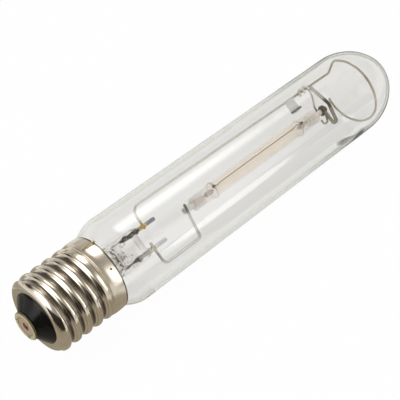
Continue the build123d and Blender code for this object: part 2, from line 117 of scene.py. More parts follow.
def editAll():
    bpy.ops.object.mode_set(mode="EDIT")
    bpy.ops.mesh.select_all(action="SELECT")


def applyPlace():
    bpy.ops.object.transform_apply(location=True, rotation=True, scale=True)


def turnedPiece(name, outline, steps, closed=False):
    # one point is drawn out along the outline (distance along the lamp, radius) and spun about the lamp's axis
    piece = addNew(name, bpy.ops.mesh.primitive_plane_add, size=mm)
    editAll()
    bpy.ops.mesh.merge(type="CENTER")
    bpy.ops.transform.translate(value=(outline[0][0] * mm, 0, outline[0][1] * mm))
    route = outline + outline[:1] if closed else outline
    for a, b in zip(route, route[1:]):
        step = ((b[0] - a[0]) * mm, 0, (b[1] - a[1]) * mm)
        bpy.ops.mesh.extrude_vertices_move(TRANSFORM_OT_translate={"value": step})
    bpy.ops.mesh.select_all(action="SELECT")
    bpy.ops.mesh.spin(steps=steps, angle=2 * math.pi, center=(0, 0, 0), axis=(1, 0, 0))
    bpy.ops.object.mode_set(mode="OBJECT")
    tidyMesh(piece)
    return piece


def shiftPiece(piece, across):
    # from the lamp's axis to a place across the press
    pickOnly(piece)
    bpy.ops.transform.translate(value=inMount(0, across, 0))
    applyPlace()


def newCurve(name, count):
    piece = addNew(name, bpy.ops.curve.primitive_bezier_curve_add, enter_editmode=False)
    piece.matrix_world = Matrix.Identity(4)
    knots = piece.data.splines[0].bezier_points
    knots.add(count - len(knots))
    return piece, knots


def bentWire(name, corners, bends, radius, sides=6):
    # a round wire through its corners, each rounded to its bend radius
    route = [(corners[0], None, None)]
    for back, here, ahead, size in zip(corners, corners[1:], corners[2:], bends):
        toBack, toNext = (back - here).normalized(), (ahead - here).normalized()
        turn = math.pi - toBack.angle(toNext)
        bend = size * mm
        reach = bend * math.tan(turn / 2)
        handle = 4 / 3 * math.tan(turn / 4) * bend
        start, end = here + toBack * reach, here + toNext * reach
        route += [(start, None, start - toBack * handle), (end, end - toNext * handle, None)]
    route.append((corners[-1], None, None))
    piece, knots = newCurve(name, len(route))
    for i, (place, before, after) in enumerate(route):
        knot = knots[i]
        knot.handle_left_type = knot.handle_right_type = "FREE"
        knot.co = place
        back = route[max(i - 1, 0)][0]
        ahead = route[min(i + 1, len(route) - 1)][0]
        knot.handle_left = place.lerp(back, 1 / 3) if before is None else before
        knot.handle_right = place.lerp(ahead, 1 / 3) if after is None else after
    return roundWire(piece, radius, sides, 16)


def flowingWire(name, places, radius, sides=6, smooth=6):
    # a round wire through many places, for coils and rings
    piece, knots = newCurve(name, len(places))
    for knot, place in zip(knots, places):
        knot.co = place
    for knot in knots:
        knot.handle_left_type = knot.handle_right_type = "AUTO"
    return roundWire(piece, radius, sides, smooth)


def roundWire(piece, radius, sides, smooth):
    line = piece.data
    line.dimensions = "3D"
    line.twist_mode = "MINIMUM"
    line.resolution_u = smooth
    line.bevel_depth = radius * mm
    line.bevel_resolution = sides
    line.use_fill_caps = True
    pickOnly(piece)
    bpy.ops.object.convert(target="MESH")
    piece = bpy.context.object
    tidyMesh(piece)
    return piece


def joinPieces(name, pieces):
    clearSelection()
    for piece in pieces:
        piece.select_set(True)
    bpy.context.view_layer.objects.active = pieces[0]
    bpy.ops.object.join()
    pieces[0].name = name
    return pieces[0]


def finishPiece(piece, node, material, angle):
    # angle: edges sharper than this stay crisp
    pickOnly(piece)
    applyPlace()
    bpy.ops.object.shade_smooth_by_angle(angle=math.radians(angle))
    piece.data.materials.clear()
    piece.data.materials.append(material)
    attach(piece, "root")
    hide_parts(node)


def dressNodes(material, *nodes):
    # solids of the frame that stay as they are and take a finish
    for node in nodes:
        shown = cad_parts[node]
        shown.data.materials.clear()
        shown.data.materials.append(material)


# shader maths: a wrapped socket that can be added, multiplied and so on

class Shade:
    def __init__(self, tree, socket=None):
        self.tree = tree
        self.socket = socket

    def node(self, kind, settings=None, sockets=None, out=0):
        made = self.tree.nodes.new(kind)
        for name, value in (settings or {}).items():
            setattr(made, name, value)
        for name, value in (sockets or {}).items():
            if isinstance(value, Shade):
                self.tree.links.new(value.socket, made.inputs[name])
            else:
                made.inputs[name].default_value = value
        return Shade(self.tree, made.outputs[out] if len(made.outputs) else None)

    def maths(self, operation, a, b=None):
        return self.node("ShaderNodeMath", {"operation": operation}, {0: a} if b is None else {0: a, 1: b})

    def __add__(self, other):
        return self.maths("ADD", self, other)

    def __radd__(self, other):
        return self.maths("ADD", other, self)

    def __sub__(self, other):
        return self.maths("SUBTRACT", self, other)

    def __rsub__(self, other):
        return self.maths("SUBTRACT", other, self)

    def __mul__(self, other):
        return self.maths("MULTIPLY", self, other)

    def __rmul__(self, other):
        return self.maths("MULTIPLY", other, self)

    def limit(self, low, high):
        # 0 below low, 1 above high, with a soft ramp between
        sockets = {"Value": self, "From Min": low, "From Max": high, "To Min": 0.0, "To Max": 1.0}
        return self.node("ShaderNodeMapRange", {"interpolation_type": "SMOOTHSTEP", "clamp": True}, sockets)

    def within(self, a, b, c, d):
        # rises from a to b and falls from c to d
        return self.limit(a, b) * (1 - self.limit(c, d))

    def blend(self, colourA, colourB):
        # colourA where the value is 0, colourB where it is 1
        return self.node("ShaderNodeMix", {"data_type": "RGBA"}, {"Factor": self, 6: colourA, 7: colourB}, out=2)


def rgb(colour, times=1.0):
    return (*[c * times for c in colour], 1.0)


def startFinish(name):
    material = bpy.data.materials.new(name)
    material.use_nodes = True
    material.node_tree.nodes.clear()
    return material, Shade(material.node_tree)


def closeFinish(material, surface):
    surface.node("ShaderNodeOutputMaterial", None, {"Surface": surface})
    return material


def principled(shade, sockets):
    return shade.node("ShaderNodeBsdfPrincipled", None, sockets)


def closeSolid(material, shade, tone, rough, bump, **more):
    # more: the finish's other sockets
    sockets = {"Base Color": tone, "Roughness": rough, "Normal": bump, **more}
    return closeFinish(material, principled(shade, sockets))


def mixShaders(shade, factor, first, second):
    return shade.node("ShaderNodeMixShader", None, {0: factor, 1: first, 2: second})


def objectPlace(shade):
    return shade.node("ShaderNodeTexCoord", None, None, out="Object")


def placeParts(shade):
    # x, y and z in millimetres from the contact face
    place = objectPlace(shade)
    return [shade.node("ShaderNodeSeparateXYZ", None, {0: place}, out=i) * 1000 for i in range(3)]


def fromAxis(shade, y, z):
    # distance from the lamp's axis
    return shade.maths("SQRT", y * y + z * z)


def vectorMaths(shade, operation, a, b=None, out=0):
    return shade.node("ShaderNodeVectorMath", {"operation": operation}, {0: a} if b is None else {0: a, 1: b}, out)


def spotMask(shade, place, reach, core=0.5):
    # 1 in the core of a round spot, 0 past its reach
    far = vectorMaths(shade, "DISTANCE", objectPlace(shade), place, "Value")
    return 1 - far.limit(core * reach * mm, reach * mm)


def lookedAlong(shade):
    # 0 where the surface faces the eye, 1 where it is seen edge on
    return shade.node("ShaderNodeLayerWeight", None, {"Blend": 0.5}, out="Facing")


def rayIs(shade, kind):
    return shade.node("ShaderNodeLightPath", None, None, out=kind)


def grain(shade, scale, detail=3.0, rough=0.55, stretch=(1, 1, 1)):
    # noise over the piece, scale in features a millimetre
    size = [1000 * s for s in stretch]
    place = shade.node("ShaderNodeMapping", None, {"Vector": objectPlace(shade), "Scale": size})
    sockets = {"Vector": place, "Scale": scale, "Detail": detail, "Roughness": rough}
    return shade.node("ShaderNodeTexNoise", None, sockets)


def bumpFrom(shade, height, strength, distance):
    sockets = {"Height": height, "Strength": strength, "Distance": distance * mm}
    return shade.node("ShaderNodeBump", None, sockets)


# camera, at the photograph's view

cameraValues = {
    "place": (-166.258, -276.453, 411.068), "forward": (0.48885, 0.48662, -0.72404),
    "up": (0.51314, 0.51080, 0.68976), "lens": 102.89, "sensor": 36, "clip": (0.02, 20),
}
camera = addNew("photoCamera", bpy.ops.object.camera_add)
forward = Vector(cameraValues["forward"]).normalized()
right = forward.cross(Vector(cameraValues["up"])).normalized()
facing = Matrix((right, right.cross(forward), -forward)).transposed().to_4x4()
facing.translation = Vector(cameraValues["place"]) * mm
camera.matrix_world = facing
camera.data.lens = cameraValues["lens"]
camera.data.sensor_width = cameraValues["sensor"]
camera.data.clip_start, camera.data.clip_end = cameraValues["clip"]
bpy.context.scene.camera = camera
print("camera placed")


# clear glass, for the bulb and the stem

glassValues = {
    "tintZoneSoft": 0.8,  # how softly a tinted zone starts and ends
    "grazingGrey": (0.82, 0.83, 0.75), "grazingGreyFrom": (0.40, 0.82), "grazingGreyShare": 0.55,  # painted shade, partly the glass's own green: greyer as the wall turns away
    "edgeFrom": (0.66, 0.84), "endZone": (150, 226),  # the edge takes its painted shade, and the end's painted shade near the dome
    "line": (0.07, 0.075, 0.05), "lineFrom": (0.74, 0.86), "lineZone": (160, 224),  # painted dark reflection: a dark line round the dome
    # dark patch: its colour face on, the turn over which it darkens to painted shade and closes up in a painted dark
    # line, its soft edge
    "patchFace": (0.40, 0.41, 0.35), "patchDarkFrom": (0.28, 0.58), "patchLineFrom": (0.48, 0.64), "patchLineShare": 0.9,
    "patchEdge": (0.72, 1.12),
}


def clearGlass(name, v):
    # clear lime glass, greener where it is looked along and partly greyer there by painted shade, with cloudy zones
    # along the lamp, dark patches, and painted dark reflections along its edges and round the dome
    g = glassValues
    material, s = startFinish(name)
    x = placeParts(s)[0]
    cloud = grain(s, 0.03, 2.0, 0.5).limit(0.2, 0.8)
    tone = (cloud * 0.5).blend(rgb(v["tint"]), rgb(v["tint"], 0.99))
    for low, high, size, thin, thick, shade in v["tintZones"]:
        soft = g["tintZoneSoft"]
        inside = x.within(low - soft, low + soft, high - soft, high + soft)
        tone = (inside * grain(s, size, 4.0, 0.6).limit(thin, thick)).blend(tone, rgb(shade))
    grazing = lookedAlong(s)
    # painted shade, partly the glass's own green: greyer where the wall is looked along
    tone = (grazing.limit(*g["grazingGreyFrom"]) * g["grazingGreyShare"]).blend(tone, rgb(g["grazingGrey"]))
    # painted shade where the glass is looked along, darkest towards the dome
    rim = x.limit(*g["endZone"]).blend(rgb(v["edgeShade"]), rgb(v["endShade"]))
    tone = grazing.limit(*g["edgeFrom"]).blend(tone, rim)
    uneven = grain(s, 0.06, 2.0, 0.5).limit(0.4, 0.6) * 0.5 + 0.25
    # painted dark reflection: a dark line where the glass round the dome is looked along
    outline = grazing.limit(*g["lineFrom"]) * x.limit(*g["lineZone"]) * uneven
    for place, along, across, shade in v["darkPatches"]:
        off = vectorMaths(s, "SUBTRACT", objectPlace(s), place)
        off = vectorMaths(s, "MULTIPLY", off, [1 / (size * mm) for size in (along, across, across)])
        far = vectorMaths(s, "LENGTH", off, None, "Value") + grain(s, 0.3, 3.0, 0.6) * 0.2
        # painted shade: the patch darkens where it is looked along
        patchShade = grazing.limit(*g["patchDarkFrom"]).blend(rgb(g["patchFace"]), rgb(shade))
        inside = 1 - far.limit(*g["patchEdge"])
        tone = inside.blend(tone, patchShade)
        # painted dark reflection mixed over the patch where it is looked along
        outline = s.maths("MAXIMUM", outline, inside * grazing.limit(*g["patchLineFrom"]) * g["patchLineShare"])
    glass = principled(s, {"Base Color": tone, "Roughness": 0.0, "IOR": v["ior"], "Transmission Weight": 1.0})
    line = principled(s, {"Base Color": rgb(g["line"]), "Roughness": 0.4, "Specular IOR Level": 0.1})
    surface = mixShaders(s, outline, glass, line)
    # lamps reach the mount through the glass
    clear = s.node("ShaderNodeBsdfTransparent", None, {"Color": rgb(v["lampPass"])})
    return closeFinish(material, mixShaders(s, rayIs(s, "Is Shadow Ray"), surface, clear))


# the bulb

bulbValues = {
    "neckEnd": 14, "neckRadius": 16.2, "neckBend": 7, "wall": 1.2, "radius": 23, "rings": range(80, 220, 20),
    "shoulderStart": 40.407, "shoulderEnd": 53.0, "shoulderBend": 16, "sideCentre": (222, -8.571),
    "sideRadius": 31.571, "crownCentre": (230.5, 0), "crownRadius": 19.5, "crownTurn": 45.24, "steps": 480,
    "tint": (0.945, 0.943, 0.933), "edgeShade": (0.66, 0.67, 0.57), "endShade": (0.05, 0.053, 0.03),
    "ior": 1.49, "lampPass": (0.93, 0.93, 0.92), "tintZones": [],
    # dark patch low on the side, painted shade where it is looked along: place, reach along and across, colour where it
    # is looked along
    "darkPatches": [(inMount(209.3, -23.0, 0.0), 7.6, 12.5, (0.008, 0.009, 0.005))],
}


def bulbOutline(inset):
    v = bulbValues
    slope = math.degrees(math.atan2(v["radius"] - v["neckRadius"], v["shoulderEnd"] - v["shoulderStart"]))
    points = [(v["neckEnd"], v["neckRadius"] - inset)]
    reach = v["neckBend"] * math.tan(math.radians(slope / 2))
    centre = (v["shoulderStart"] - reach, v["neckRadius"] + v["neckBend"])
    points += arcPoints(centre, v["neckBend"] + inset, -90, -90 + slope, 8)
    reach = v["shoulderBend"] * math.tan(math.radians(slope / 2))
    centre = (v["shoulderEnd"] + reach, v["radius"] - v["shoulderBend"])
    points += arcPoints(centre, v["shoulderBend"] - inset, 90 + slope, 90, 10)
    points += [(x, v["radius"] - inset) for x in v["rings"]]
    points += arcPoints(v["sideCentre"], v["sideRadius"] - inset, 90, v["crownTurn"], 18)
    points += arcPoints(v["crownCentre"], v["crownRadius"] - inset, v["crownTurn"], 0, 20)[1:]
    points[-1] = (points[-1][0], 0.0)
    return points


bulbWall = bulbOutline(bulbValues["wall"])[::-1] + bulbOutline(0)
glassBulb = turnedPiece("glassBulb", bulbWall, bulbValues["steps"])
finishPiece(glassBulb, "glass_envelope", clearGlass("clearBulbGlass", bulbValues), 40)
print("bulb made")


# stem: flare, tube, pinched press with a bead round each lead, and the exhaust tube

stemValues = {
    # flare and tube, outside and inside: distance along the lamp, radius
    "outside": [(12.8, 16.18), (13.4, 15.2), (14.6, 12.2), (16.5, 10.0), (19.5, 8.6), (22.5, 8.2), (30, 8.2)]
    + [(40, 8.2), (47, 8.2)],
    "inside": [(11.9, 16.18), (12.2, 14.6), (13.6, 11.2), (15.6, 8.9), (19, 7.4), (22.5, 7.0), (40, 7.0), (47, 7.0)],
    "tubeRadius": 8.2, "boreRadius": 7.0, "boreEnd": 1.0, "boreNarrows": 0.6, "hollowEnd": 57,
    "pinchStart": 51, "pinchSwell": 0.25, "pressStart": 60, "pressRows": (61, 62.5, 64, 65.5, 67, 68, 68.6, 69.2),
    "pressTop": 71.5, "pressRound": 1.5, "pressHalfWidth": 8.2, "pressHalfThick": 1.7, "squareness": 0.62,
    "dish": 0.30, "topBead": 0.2, "ripple": 0.32, "drag": 0.7, "around": 72,
    "exhaustTip": 13, "exhaustRound": 1.8,
    "exhaust": [(54.5, 2.5), (60.5, 1.5), (60.5, 1.0), (56.5, 1.6), (15.4, 1.6), (14.2, 0.0)],
    # bead round a lead: distance along the lamp, share of its radius
    "leadOffset": 5.75, "beadRadius": 1.95, "bead": [(61, 0), (61.6, 0.7), (63, 1), (66, 1.04), (70, 1), (72, 0.96)]
    + [(72.8, 0.8), (73.1, 0.55), (73.2, 0)],
    "tint": (0.975, 0.965, 0.955), "edgeShade": (0.80, 0.74, 0.69), "endShade": (0.80, 0.74, 0.69),
    "ior": 1.38, "lampPass": (0.92, 0.92, 0.91), "darkPatches": [],
    # tinted zones: start, end, size and limits of their grain, colour
    "tintZones": [
        (40, 62, 0.35, 0.45, 0.70, (0.82, 0.77, 0.72)),
        (58.5, 64, 0.55, 0.57, 0.66, (0.42, 0.36, 0.31)),
        (69.6, 71.6, 0.3, 0.05, 0.40, (0.80, 0.76, 0.76)),
    ],
}


def stemStations():
    # distance along the lamp, half width, half thickness, how square the section is
    v = stemValues
    tube, bore, wide, thick = v["tubeRadius"], v["boreRadius"], v["pressHalfWidth"], v["pressHalfThick"]
    outside = [(x, radius, radius, 0) for x, radius in v["outside"]]
    for i in range(11):
        share = i / 10
        fall = easeIn(share, 0, 1)
        x = v["pinchStart"] + share * (v["pressStart"] - v["pinchStart"])
        swell = v["pinchSwell"] * math.sin(math.pi * share)
        outside.append((x, tube + swell, tube + (thick - tube) * fall, fall))
    outside += [(x, wide, thick, 1) for x in v["pressRows"]]
    r = v["pressRound"]
    for turn in range(0, 91, 15):
        c, s = math.cos(math.radians(turn)), math.sin(math.radians(turn))
        outside.append((v["pressTop"] - r + r * s, wide - r + r * c, thick * (0.35 + 0.65 * c), 1))
    inside = [(x, radius, radius, 0) for x, radius in v["inside"]]
    for i in range(9):
        share = i / 8
        fall = easeIn(share * 0.9, 0, 1)
        x = v["pinchStart"] + share * (v["hollowEnd"] - v["pinchStart"])
        inside.append((x, bore - v["boreNarrows"] * share, bore + (v["boreEnd"] - bore) * fall, fall))
    return outside[::-1] + inside


def stemBody():
    v = stemValues
    stations = stemStations()
    piece = addNew(
        "glassStem", bpy.ops.mesh.primitive_circle_add,
        vertices=v["around"], radius=mm, fill_type="NGON", rotation=(0, math.pi / 2, 0),
    )
    applyPlace()
    # the closed end is drawn back ring by ring, and every ring then takes its own section
    editAll()
    bpy.ops.mesh.select_mode(type="EDGE")
    bpy.ops.mesh.region_to_loop()
    for _ in stations[1:]:
        bpy.ops.mesh.extrude_edges_move(TRANSFORM_OT_translate={"value": (mm, 0, 0)})
    bpy.ops.mesh.edge_face_add()
    bpy.ops.mesh.select_mode(type="VERT")
    bpy.ops.object.mode_set(mode="OBJECT")
    for vertex in piece.data.vertices:
        x, wide, thick, square = stations[round(vertex.co.x / mm)]
        a = math.atan2(vertex.co.z, vertex.co.y)
        s = math.sin(a)
        across = wide * math.cos(a)
        # thinner between the leads, with a low bead along the top of the press
        hollow = v["dish"] * square * (1 - easeIn(abs(across), 2.2, 4.6)) * (1 - easeIn(x, 68.2, 70.0))
        hollow -= v["topBead"] * square * easeIn(x, 68.6, 69.8) * (1 - easeIn(x, 70.6, 71.5))
        out = thick * (1 - hollow) * math.copysign(abs(s) ** (1 - v["squareness"] * square), s)
        # ripples where the soft glass was pinched
        pinched = easeIn(x, 55, 58) * (1 - easeIn(x, 62.5, 66))
        out *= 1 + v["ripple"] * pinched * noise.noise(Vector((x * 0.75, across * 0.55, out * 0.4 + 4)))
        x += v["drag"] * pinched * noise.noise(Vector((x * 0.5, across * 0.6 + 9, out * 0.5)))
        vertex.co = inMount(x, across, out)
    tidyMesh(piece)
    return piece


v = stemValues
stem = stemBody()
tip, r = v["exhaustTip"], v["exhaustRound"]
exhaust = turnedPiece("exhaust", [(tip, 0.0)] + arcPoints((tip + r, 0.7), r, 180, 90, 6) + v["exhaust"], 32)
for side in (1, -1):
    bead = turnedPiece("bead", [(x, v["beadRadius"] * share) for x, share in v["bead"]], 32)
    shiftPiece(bead, side * v["leadOffset"])
    useModifier(stem, "BOOLEAN", operation="UNION", object=bead, solver="EXACT")
    bpy.data.objects.remove(bead)
stem = joinPieces("glassStem", [stem, exhaust])
finishPiece(stem, "stem", clearGlass("stemGlass", v), 40)
print("stem made")


# rolled screw shell: round nose, helical thread running out under the plain collar

shellValues = {
    "noseCentre": (10.6, 15.3), "noseRadius": 4.35, "noseTurn": 201.7, "crest": 19.65, "root": 17.85, "pitch": 6.35,
    "waveRadius": 1.85, "leadIn": 4.9, "turns": 4.6, "fadeIn": 0.45, "fadeOut": 0.6, "fadeRise": 1.9,
    "neckGroove": 36.45, "neckDepth": 0.75, "neckWide": 0.6,  # the step between the thread and the collar
    "collarStart": 37, "collarRadius": 19.8, "crown": 0.2, "crownAt": 40.6, "crownReach": 4,
    "shoulder": 0.42, "shoulderEnd": 39.6, "shoulderReach": 2.6, "end": 45,
    "sheet": 0.5, "columns": 240, "threadStep": 0.25, "neckStep": 0.14, "collarStep": 0.3,
    # small stake marks on the collar: distance along, degrees round, depth, size
    "marks": [(39.9, 157, 0.06, 0.5), (40.6, 52, -0.06, 0.5)],
    # dirt on the collar: distance along, degrees round, size
    "flecks": [(42.0, 129, 0.7), (43.2, 30, 0.4), (39.6, 250, 0.5)], "fleckColour": (0.03, 0.022, 0.015),
    "colour": (0.81, 0.74, 0.62), "dull": (0.27, 0.20, 0.135), "rough": 0.11, "roughRange": 0.10, "scratch": 0.10,
    "grooveShadeRadii": (17.88, 18.18), "rolledZone": (11, 13, 35, 36.4), "rimShadeZone": (43.9, 44.35, 44.75, 45.0),
}


def shellRows():
    v = shellValues
    rows = arcPoints(v["noseCentre"], v["noseRadius"], v["noseTurn"], 90, 30)
    start, ridge, crest, end = v["collarStart"], v["collarRadius"], v["crest"], v["end"]
    x = rows[-1][0]
    while x < start - 2:
        x += v["threadStep"]
        rows.append((x, crest))
    while x < start + 0.6:
        x += v["neckStep"]
        rows.append((x, crest + (ridge - crest) * easeIn(x, start - 0.2, start + 0.4)))
    while x < end - 0.5:
        x += v["collarStep"]
        rows.append((x, ridge))
    return rows + [(end - 0.25, ridge), (end - 0.1, ridge - 0.02), (end, ridge - 0.1)]


def grooveRadius(d):
    # two arcs that flow into each other, from the root at d = 0 to the crest half a pitch away
    v = shellValues
    d, wave = abs(d), v["waveRadius"]
    if d >= v["pitch"] / 2:
        return v["crest"]
    if d <= v["pitch"] / 4:
        return v["root"] + wave - math.sqrt(wave ** 2 - d * d)
    away = v["pitch"] / 2 - d
    return v["crest"] - wave + math.sqrt(wave ** 2 - away * away)


def shellRadius(x, radius, angle):
    v = shellValues
    start = v["collarStart"]
    if x > start:  # crowned, and rounded towards the thread
        radius -= v["crown"] * ((x - v["crownAt"]) / v["crownReach"]) ** 2
        radius -= v["shoulder"] * max(0, (v["shoulderEnd"] - x) / v["shoulderReach"]) ** 2
    plain = radius
    if x < start + 0.3:
        first = ((angle - math.pi / 2) / (2 * math.pi)) % 1
        last = v["turns"] + v["fadeOut"]
        for k in range(6):
            turn = first + k
            away = x - v["leadIn"] - v["pitch"] * turn
            if turn > last or abs(away) > v["pitch"] or radius <= 14:
                continue
            lift = v["fadeRise"] * easeIn(turn, v["turns"], last)
            lift += v["fadeRise"] * (1 - easeIn(turn, 0, v["fadeIn"]))
            radius = softMin(radius, grooveRadius(away) + lift, 0.12)
        apart = (x - v["neckGroove"]) / v["neckWide"]
        radius = softMin(radius, plain + 0.04 - v["neckDepth"] * math.exp(-apart * apart), 0.1)
        radius += (plain - radius) * easeIn(x, v["neckGroove"], start + 0.3)
    for place, degrees, depth, size in v["marks"]:
        apart = angle - math.radians(degrees)
        across = v["collarRadius"] * math.atan2(math.sin(apart), math.cos(apart))
        far = ((x - place) ** 2 + across * across) / (size * size)
        if far < 6:
            radius -= depth * math.exp(-far)
    return radius


def shellBody():
    v = shellValues
    rows = shellRows()
    last = len(rows) - 1
    sides = {"x_subdivisions": last, "y_subdivisions": v["columns"]}
    piece = addNew("screwShell", bpy.ops.mesh.primitive_grid_add, size=1, **sides)
    for vertex in piece.data.vertices:
        x, radius = rows[round((vertex.co.x + 0.5) * last)]
        angle = 2 * math.pi * (vertex.co.y + 0.5)
        vertex.co = roundLamp(x, shellRadius(x, radius, angle), angle)
    tidyMesh(piece)
    useModifier(piece, "SOLIDIFY", thickness=v["sheet"] * mm, offset=-1)
    return piece


def platedMetal(name):
    # plated sheet: soft clouding, fine drawn lines round the cap, painted shade down in the thread's groove roots and
    # in a line at the rim, and darker worn spots
    v = shellValues
    dull = v["dull"]
    material, s = startFinish(name)
    x, y, z = placeParts(s)
    # painted shade: near black down in the thread's groove roots
    grooveShade = (1 - fromAxis(s, y, z).limit(*v["grooveShadeRadii"])) * x.limit(9, 12)
    # lines left by the thread rolls, running with the thread
    turn = x * (2 * math.pi / v["pitch"]) - s.maths("ARCTAN2", z, y)
    rolled = s.maths("SINE", turn * 4 + 0.6) * 0.5 + s.maths("SINE", turn * 9 + 2.1) * 0.5
    rolled = rolled.limit(0.1, 0.8) * x.within(*v["rolledZone"]) * grain(s, 0.3, 3.0, 0.6).limit(0.3, 0.6)
    cloud = grain(s, 0.22, 4.0, 0.6)
    fine = grain(s, 2.2, 3.0, 0.6, (2.6, 0.35, 0.35))
    spots = grain(s, 0.9, 5.0, 0.7).limit(0.64, 0.78)
    tone = cloud.limit(0.3, 0.75).blend(rgb(v["colour"]), rgb(v["colour"], 0.9))
    tone = (rolled * 0.45).blend(tone, rgb(dull))
    tone = (grooveShade * (cloud * 0.2 + 0.8)).blend(tone, rgb(dull, 0.16))
    # painted shade: a dark line just inside the rim's edge
    tone = (x.within(*v["rimShadeZone"]) * 0.9).blend(tone, rgb(dull, 0.3))
    tone = (spots * 0.5).blend(tone, rgb(dull))
    for along, degrees, size in v["flecks"]:
        place = roundLamp(along, v["collarRadius"], math.radians(degrees))
        tone = spotMask(s, place, size).blend(tone, rgb(v["fleckColour"]))
    # the collar is a little softer than the thread
    rough = fine * v["roughRange"] + v["rough"] + spots * 0.12 + grooveShade * 0.1 + x.limit(36.6, 37.6) * 0.1
    bump = bumpFrom(s, fine + cloud * 0.6 - rolled * 0.8, v["scratch"], 0.03)
    return closeSolid(material, s, tone, rough, bump, Metallic=1.0)


shell = shellBody()
finishPiece(shell, "screw_shell", platedMetal("platedShell"), 50)
print("screw shell made:", len(shell.data.polygons), "faces")


# contact end: black glass insulator, dished contact, solder in its hole

contactValues = {
    # outlines: distance along the lamp, radius
    "insulator": [(1.2, 2.2), (1.2, 6.0), (1.22, 6.5), (1.4, 6.95), (1.75, 7.45), (2.6, 8.6), (3.6, 9.95), (4.6, 11.3)]
    + [(5.5, 12.5), (6.1, 13.2), (6.45, 13.5), (6.7, 13.62), (7.06, 13.66), (7.1, 15.27), (9.6, 15.27), (9.6, 10.3)]
    + [(6, 10.3), (6, 2.2)],
    "plate": [(0.4, 1.3), (0.42, 3.2), (0.40, 4.1), (0.34, 4.55), (0.20, 4.9), (0.07, 5.2), (0.0, 5.6), (0.0, 6.4)]
    + arcPoints((0.5, 6.95), 0.5, 180, 90, 7) + [(0.9, 7.45), (1.1, 7.38), (1.2, 7.2), (1.2, 1.3)],
    "drop": [(0.10, 0.0), (0.10, 0.6), (0.14, 1.1), (0.22, 1.5), (0.31, 1.85), (0.39, 2.1), (0.43, 2.15), (0.43, 1.28)]
    + [(1.6, 1.28), (1.6, 0.0)],
    "dropBack": 0.43, "dropRadius": 2.15,
    "black": (0.006, 0.005, 0.005), "dust": (0.030, 0.027, 0.024),
    "rim": (0.70, 0.66, 0.42), "dish": (0.60, 0.47, 0.39), "stain": (0.44, 0.36, 0.24), "dishGrooveShade": (0.20, 0.17, 0.08),
    "sideShade": (0.08, 0.065, 0.035), "speck": (0.10, 0.07, 0.05), "burn": (0.03, 0.022, 0.015),
    # burnt flux spots on the contact's face: y, z and size
    "burns": [(-2.1, 3.6, 0.75), (-2.22, -5.44, 0.9), (6.3, -0.2, 0.8), (3.1, 3.4, 0.45)],
}


def blackGlass(name):
    v = contactValues
    material, s = startFinish(name)
    dust = grain(s, 1.4, 4.0, 0.65).limit(0.56, 0.74)
    bump = bumpFrom(s, grain(s, 0.25, 3.0, 0.5), 0.5, 0.18)
    tone = (dust * 0.5).blend(rgb(v["black"]), rgb(v["dust"]))
    return closeSolid(material, s, tone, dust * 0.25 + 0.16, bump, **{"IOR": 1.5, "Specular IOR Level": 0.2})


def stampedBrass(name):
    # pinkish in the dish where the lamp was soldered, yellow on the rim, burnt where flux ran, with painted shade in
    # the groove round the dish and on the side wall
    v = contactValues
    material, s = startFinish(name)
    far = fromAxis(s, *placeParts(s)[1:])
    stain = grain(s, 0.8, 4.0, 0.65)
    scuff = grain(s, 3.0, 4.0, 0.7)
    speck = grain(s, 1.7, 3.0, 0.6).limit(0.66, 0.72)
    tone = (1 - far.limit(4.7, 5.2)).blend(rgb(v["rim"]), rgb(v["dish"]))
    tone = (stain.limit(0.45, 0.7) * 0.4).blend(tone, rgb(v["stain"]))
    # painted shade in the groove round the dish
    tone = (far.within(4.5, 4.9, 5.0, 5.5) * 0.75).blend(tone, rgb(v["dishGrooveShade"]))
    # painted shade: the dark side wall of the contact
    tone = (far.limit(7.1, 7.35) * 0.9).blend(tone, rgb(v["sideShade"]))
    for spotY, spotZ, reach in v["burns"]:
        burnt = spotMask(s, Vector((0.2, spotY, spotZ)) * mm, reach, 0.55)
        tone = (burnt * 0.95).blend(tone, rgb(v["burn"]))
    tone = (speck * 0.7).blend(tone, rgb(v["speck"]))
    bump = bumpFrom(s, scuff + stain, 0.4, 0.05)
    return closeSolid(material, s, tone, scuff * 0.25 + 0.28, bump, Metallic=0.6)


def solderMetal(name, bright, dark, rough):
    # lumpy solder with burnt specks, and painted shade darker round its edge
    material, s = startFinish(name)
    lump = grain(s, 0.9, 5.0, 0.65)
    speck = grain(s, 1.5, 3.0, 0.6).limit(0.56, 0.66)
    tone = lump.limit(0.35, 0.65).blend(rgb(bright), rgb(dark))
    tone = (speck * 0.7).blend(tone, rgb((0.06, 0.035, 0.03)))
    # painted shade where the solder is looked along
    tone = (lookedAlong(s).limit(0.3, 0.75) * 0.8).blend(tone, rgb(dark, 0.25))
    return closeSolid(material, s, tone, lump * 0.3 + rough, bumpFrom(s, lump, 0.6, 0.12), Metallic=0.75)


v = contactValues
insulator = turnedPiece("capInsulator", v["insulator"], 120, closed=True)
finishPiece(insulator, "cap_insulator", blackGlass("blackInsulator"), 32)
plate = turnedPiece("centreContact", v["plate"], 120, closed=True)
finishPiece(plate, "centre_contact", stampedBrass("contactBrass"), 40)
drop = turnedPiece("contactSolder", v["drop"], 64)
for vertex in drop.data.vertices:  # an uneven drop, not a turned one
    lump = noise.noise(vertex.co * 900)
    far = math.hypot(vertex.co.y, vertex.co.z) / mm
    if vertex.co.x < v["dropBack"] * mm:
        vertex.co.x += 0.09 * mm * lump * (1 - easeIn(far, 1.7, v["dropRadius"]))
        stretch = 1 + 0.16 * lump * easeIn(far, 0.5, 2.0)
        vertex.co.y *= stretch
        vertex.co.z *= stretch
dropMetal = solderMetal("copperSolder", (0.66, 0.22, 0.15), (0.34, 0.07, 0.045), 0.25)
finishPiece(drop, "contact_solder", dropMetal, 40)
print("contact end made")


# solder run over the collar rim

rimValues = {"angle": 83, "start": 37.3, "end": 45.7, "middle": 19.75, "wide": 1.05, "high": 1.1, "under": 0.25}


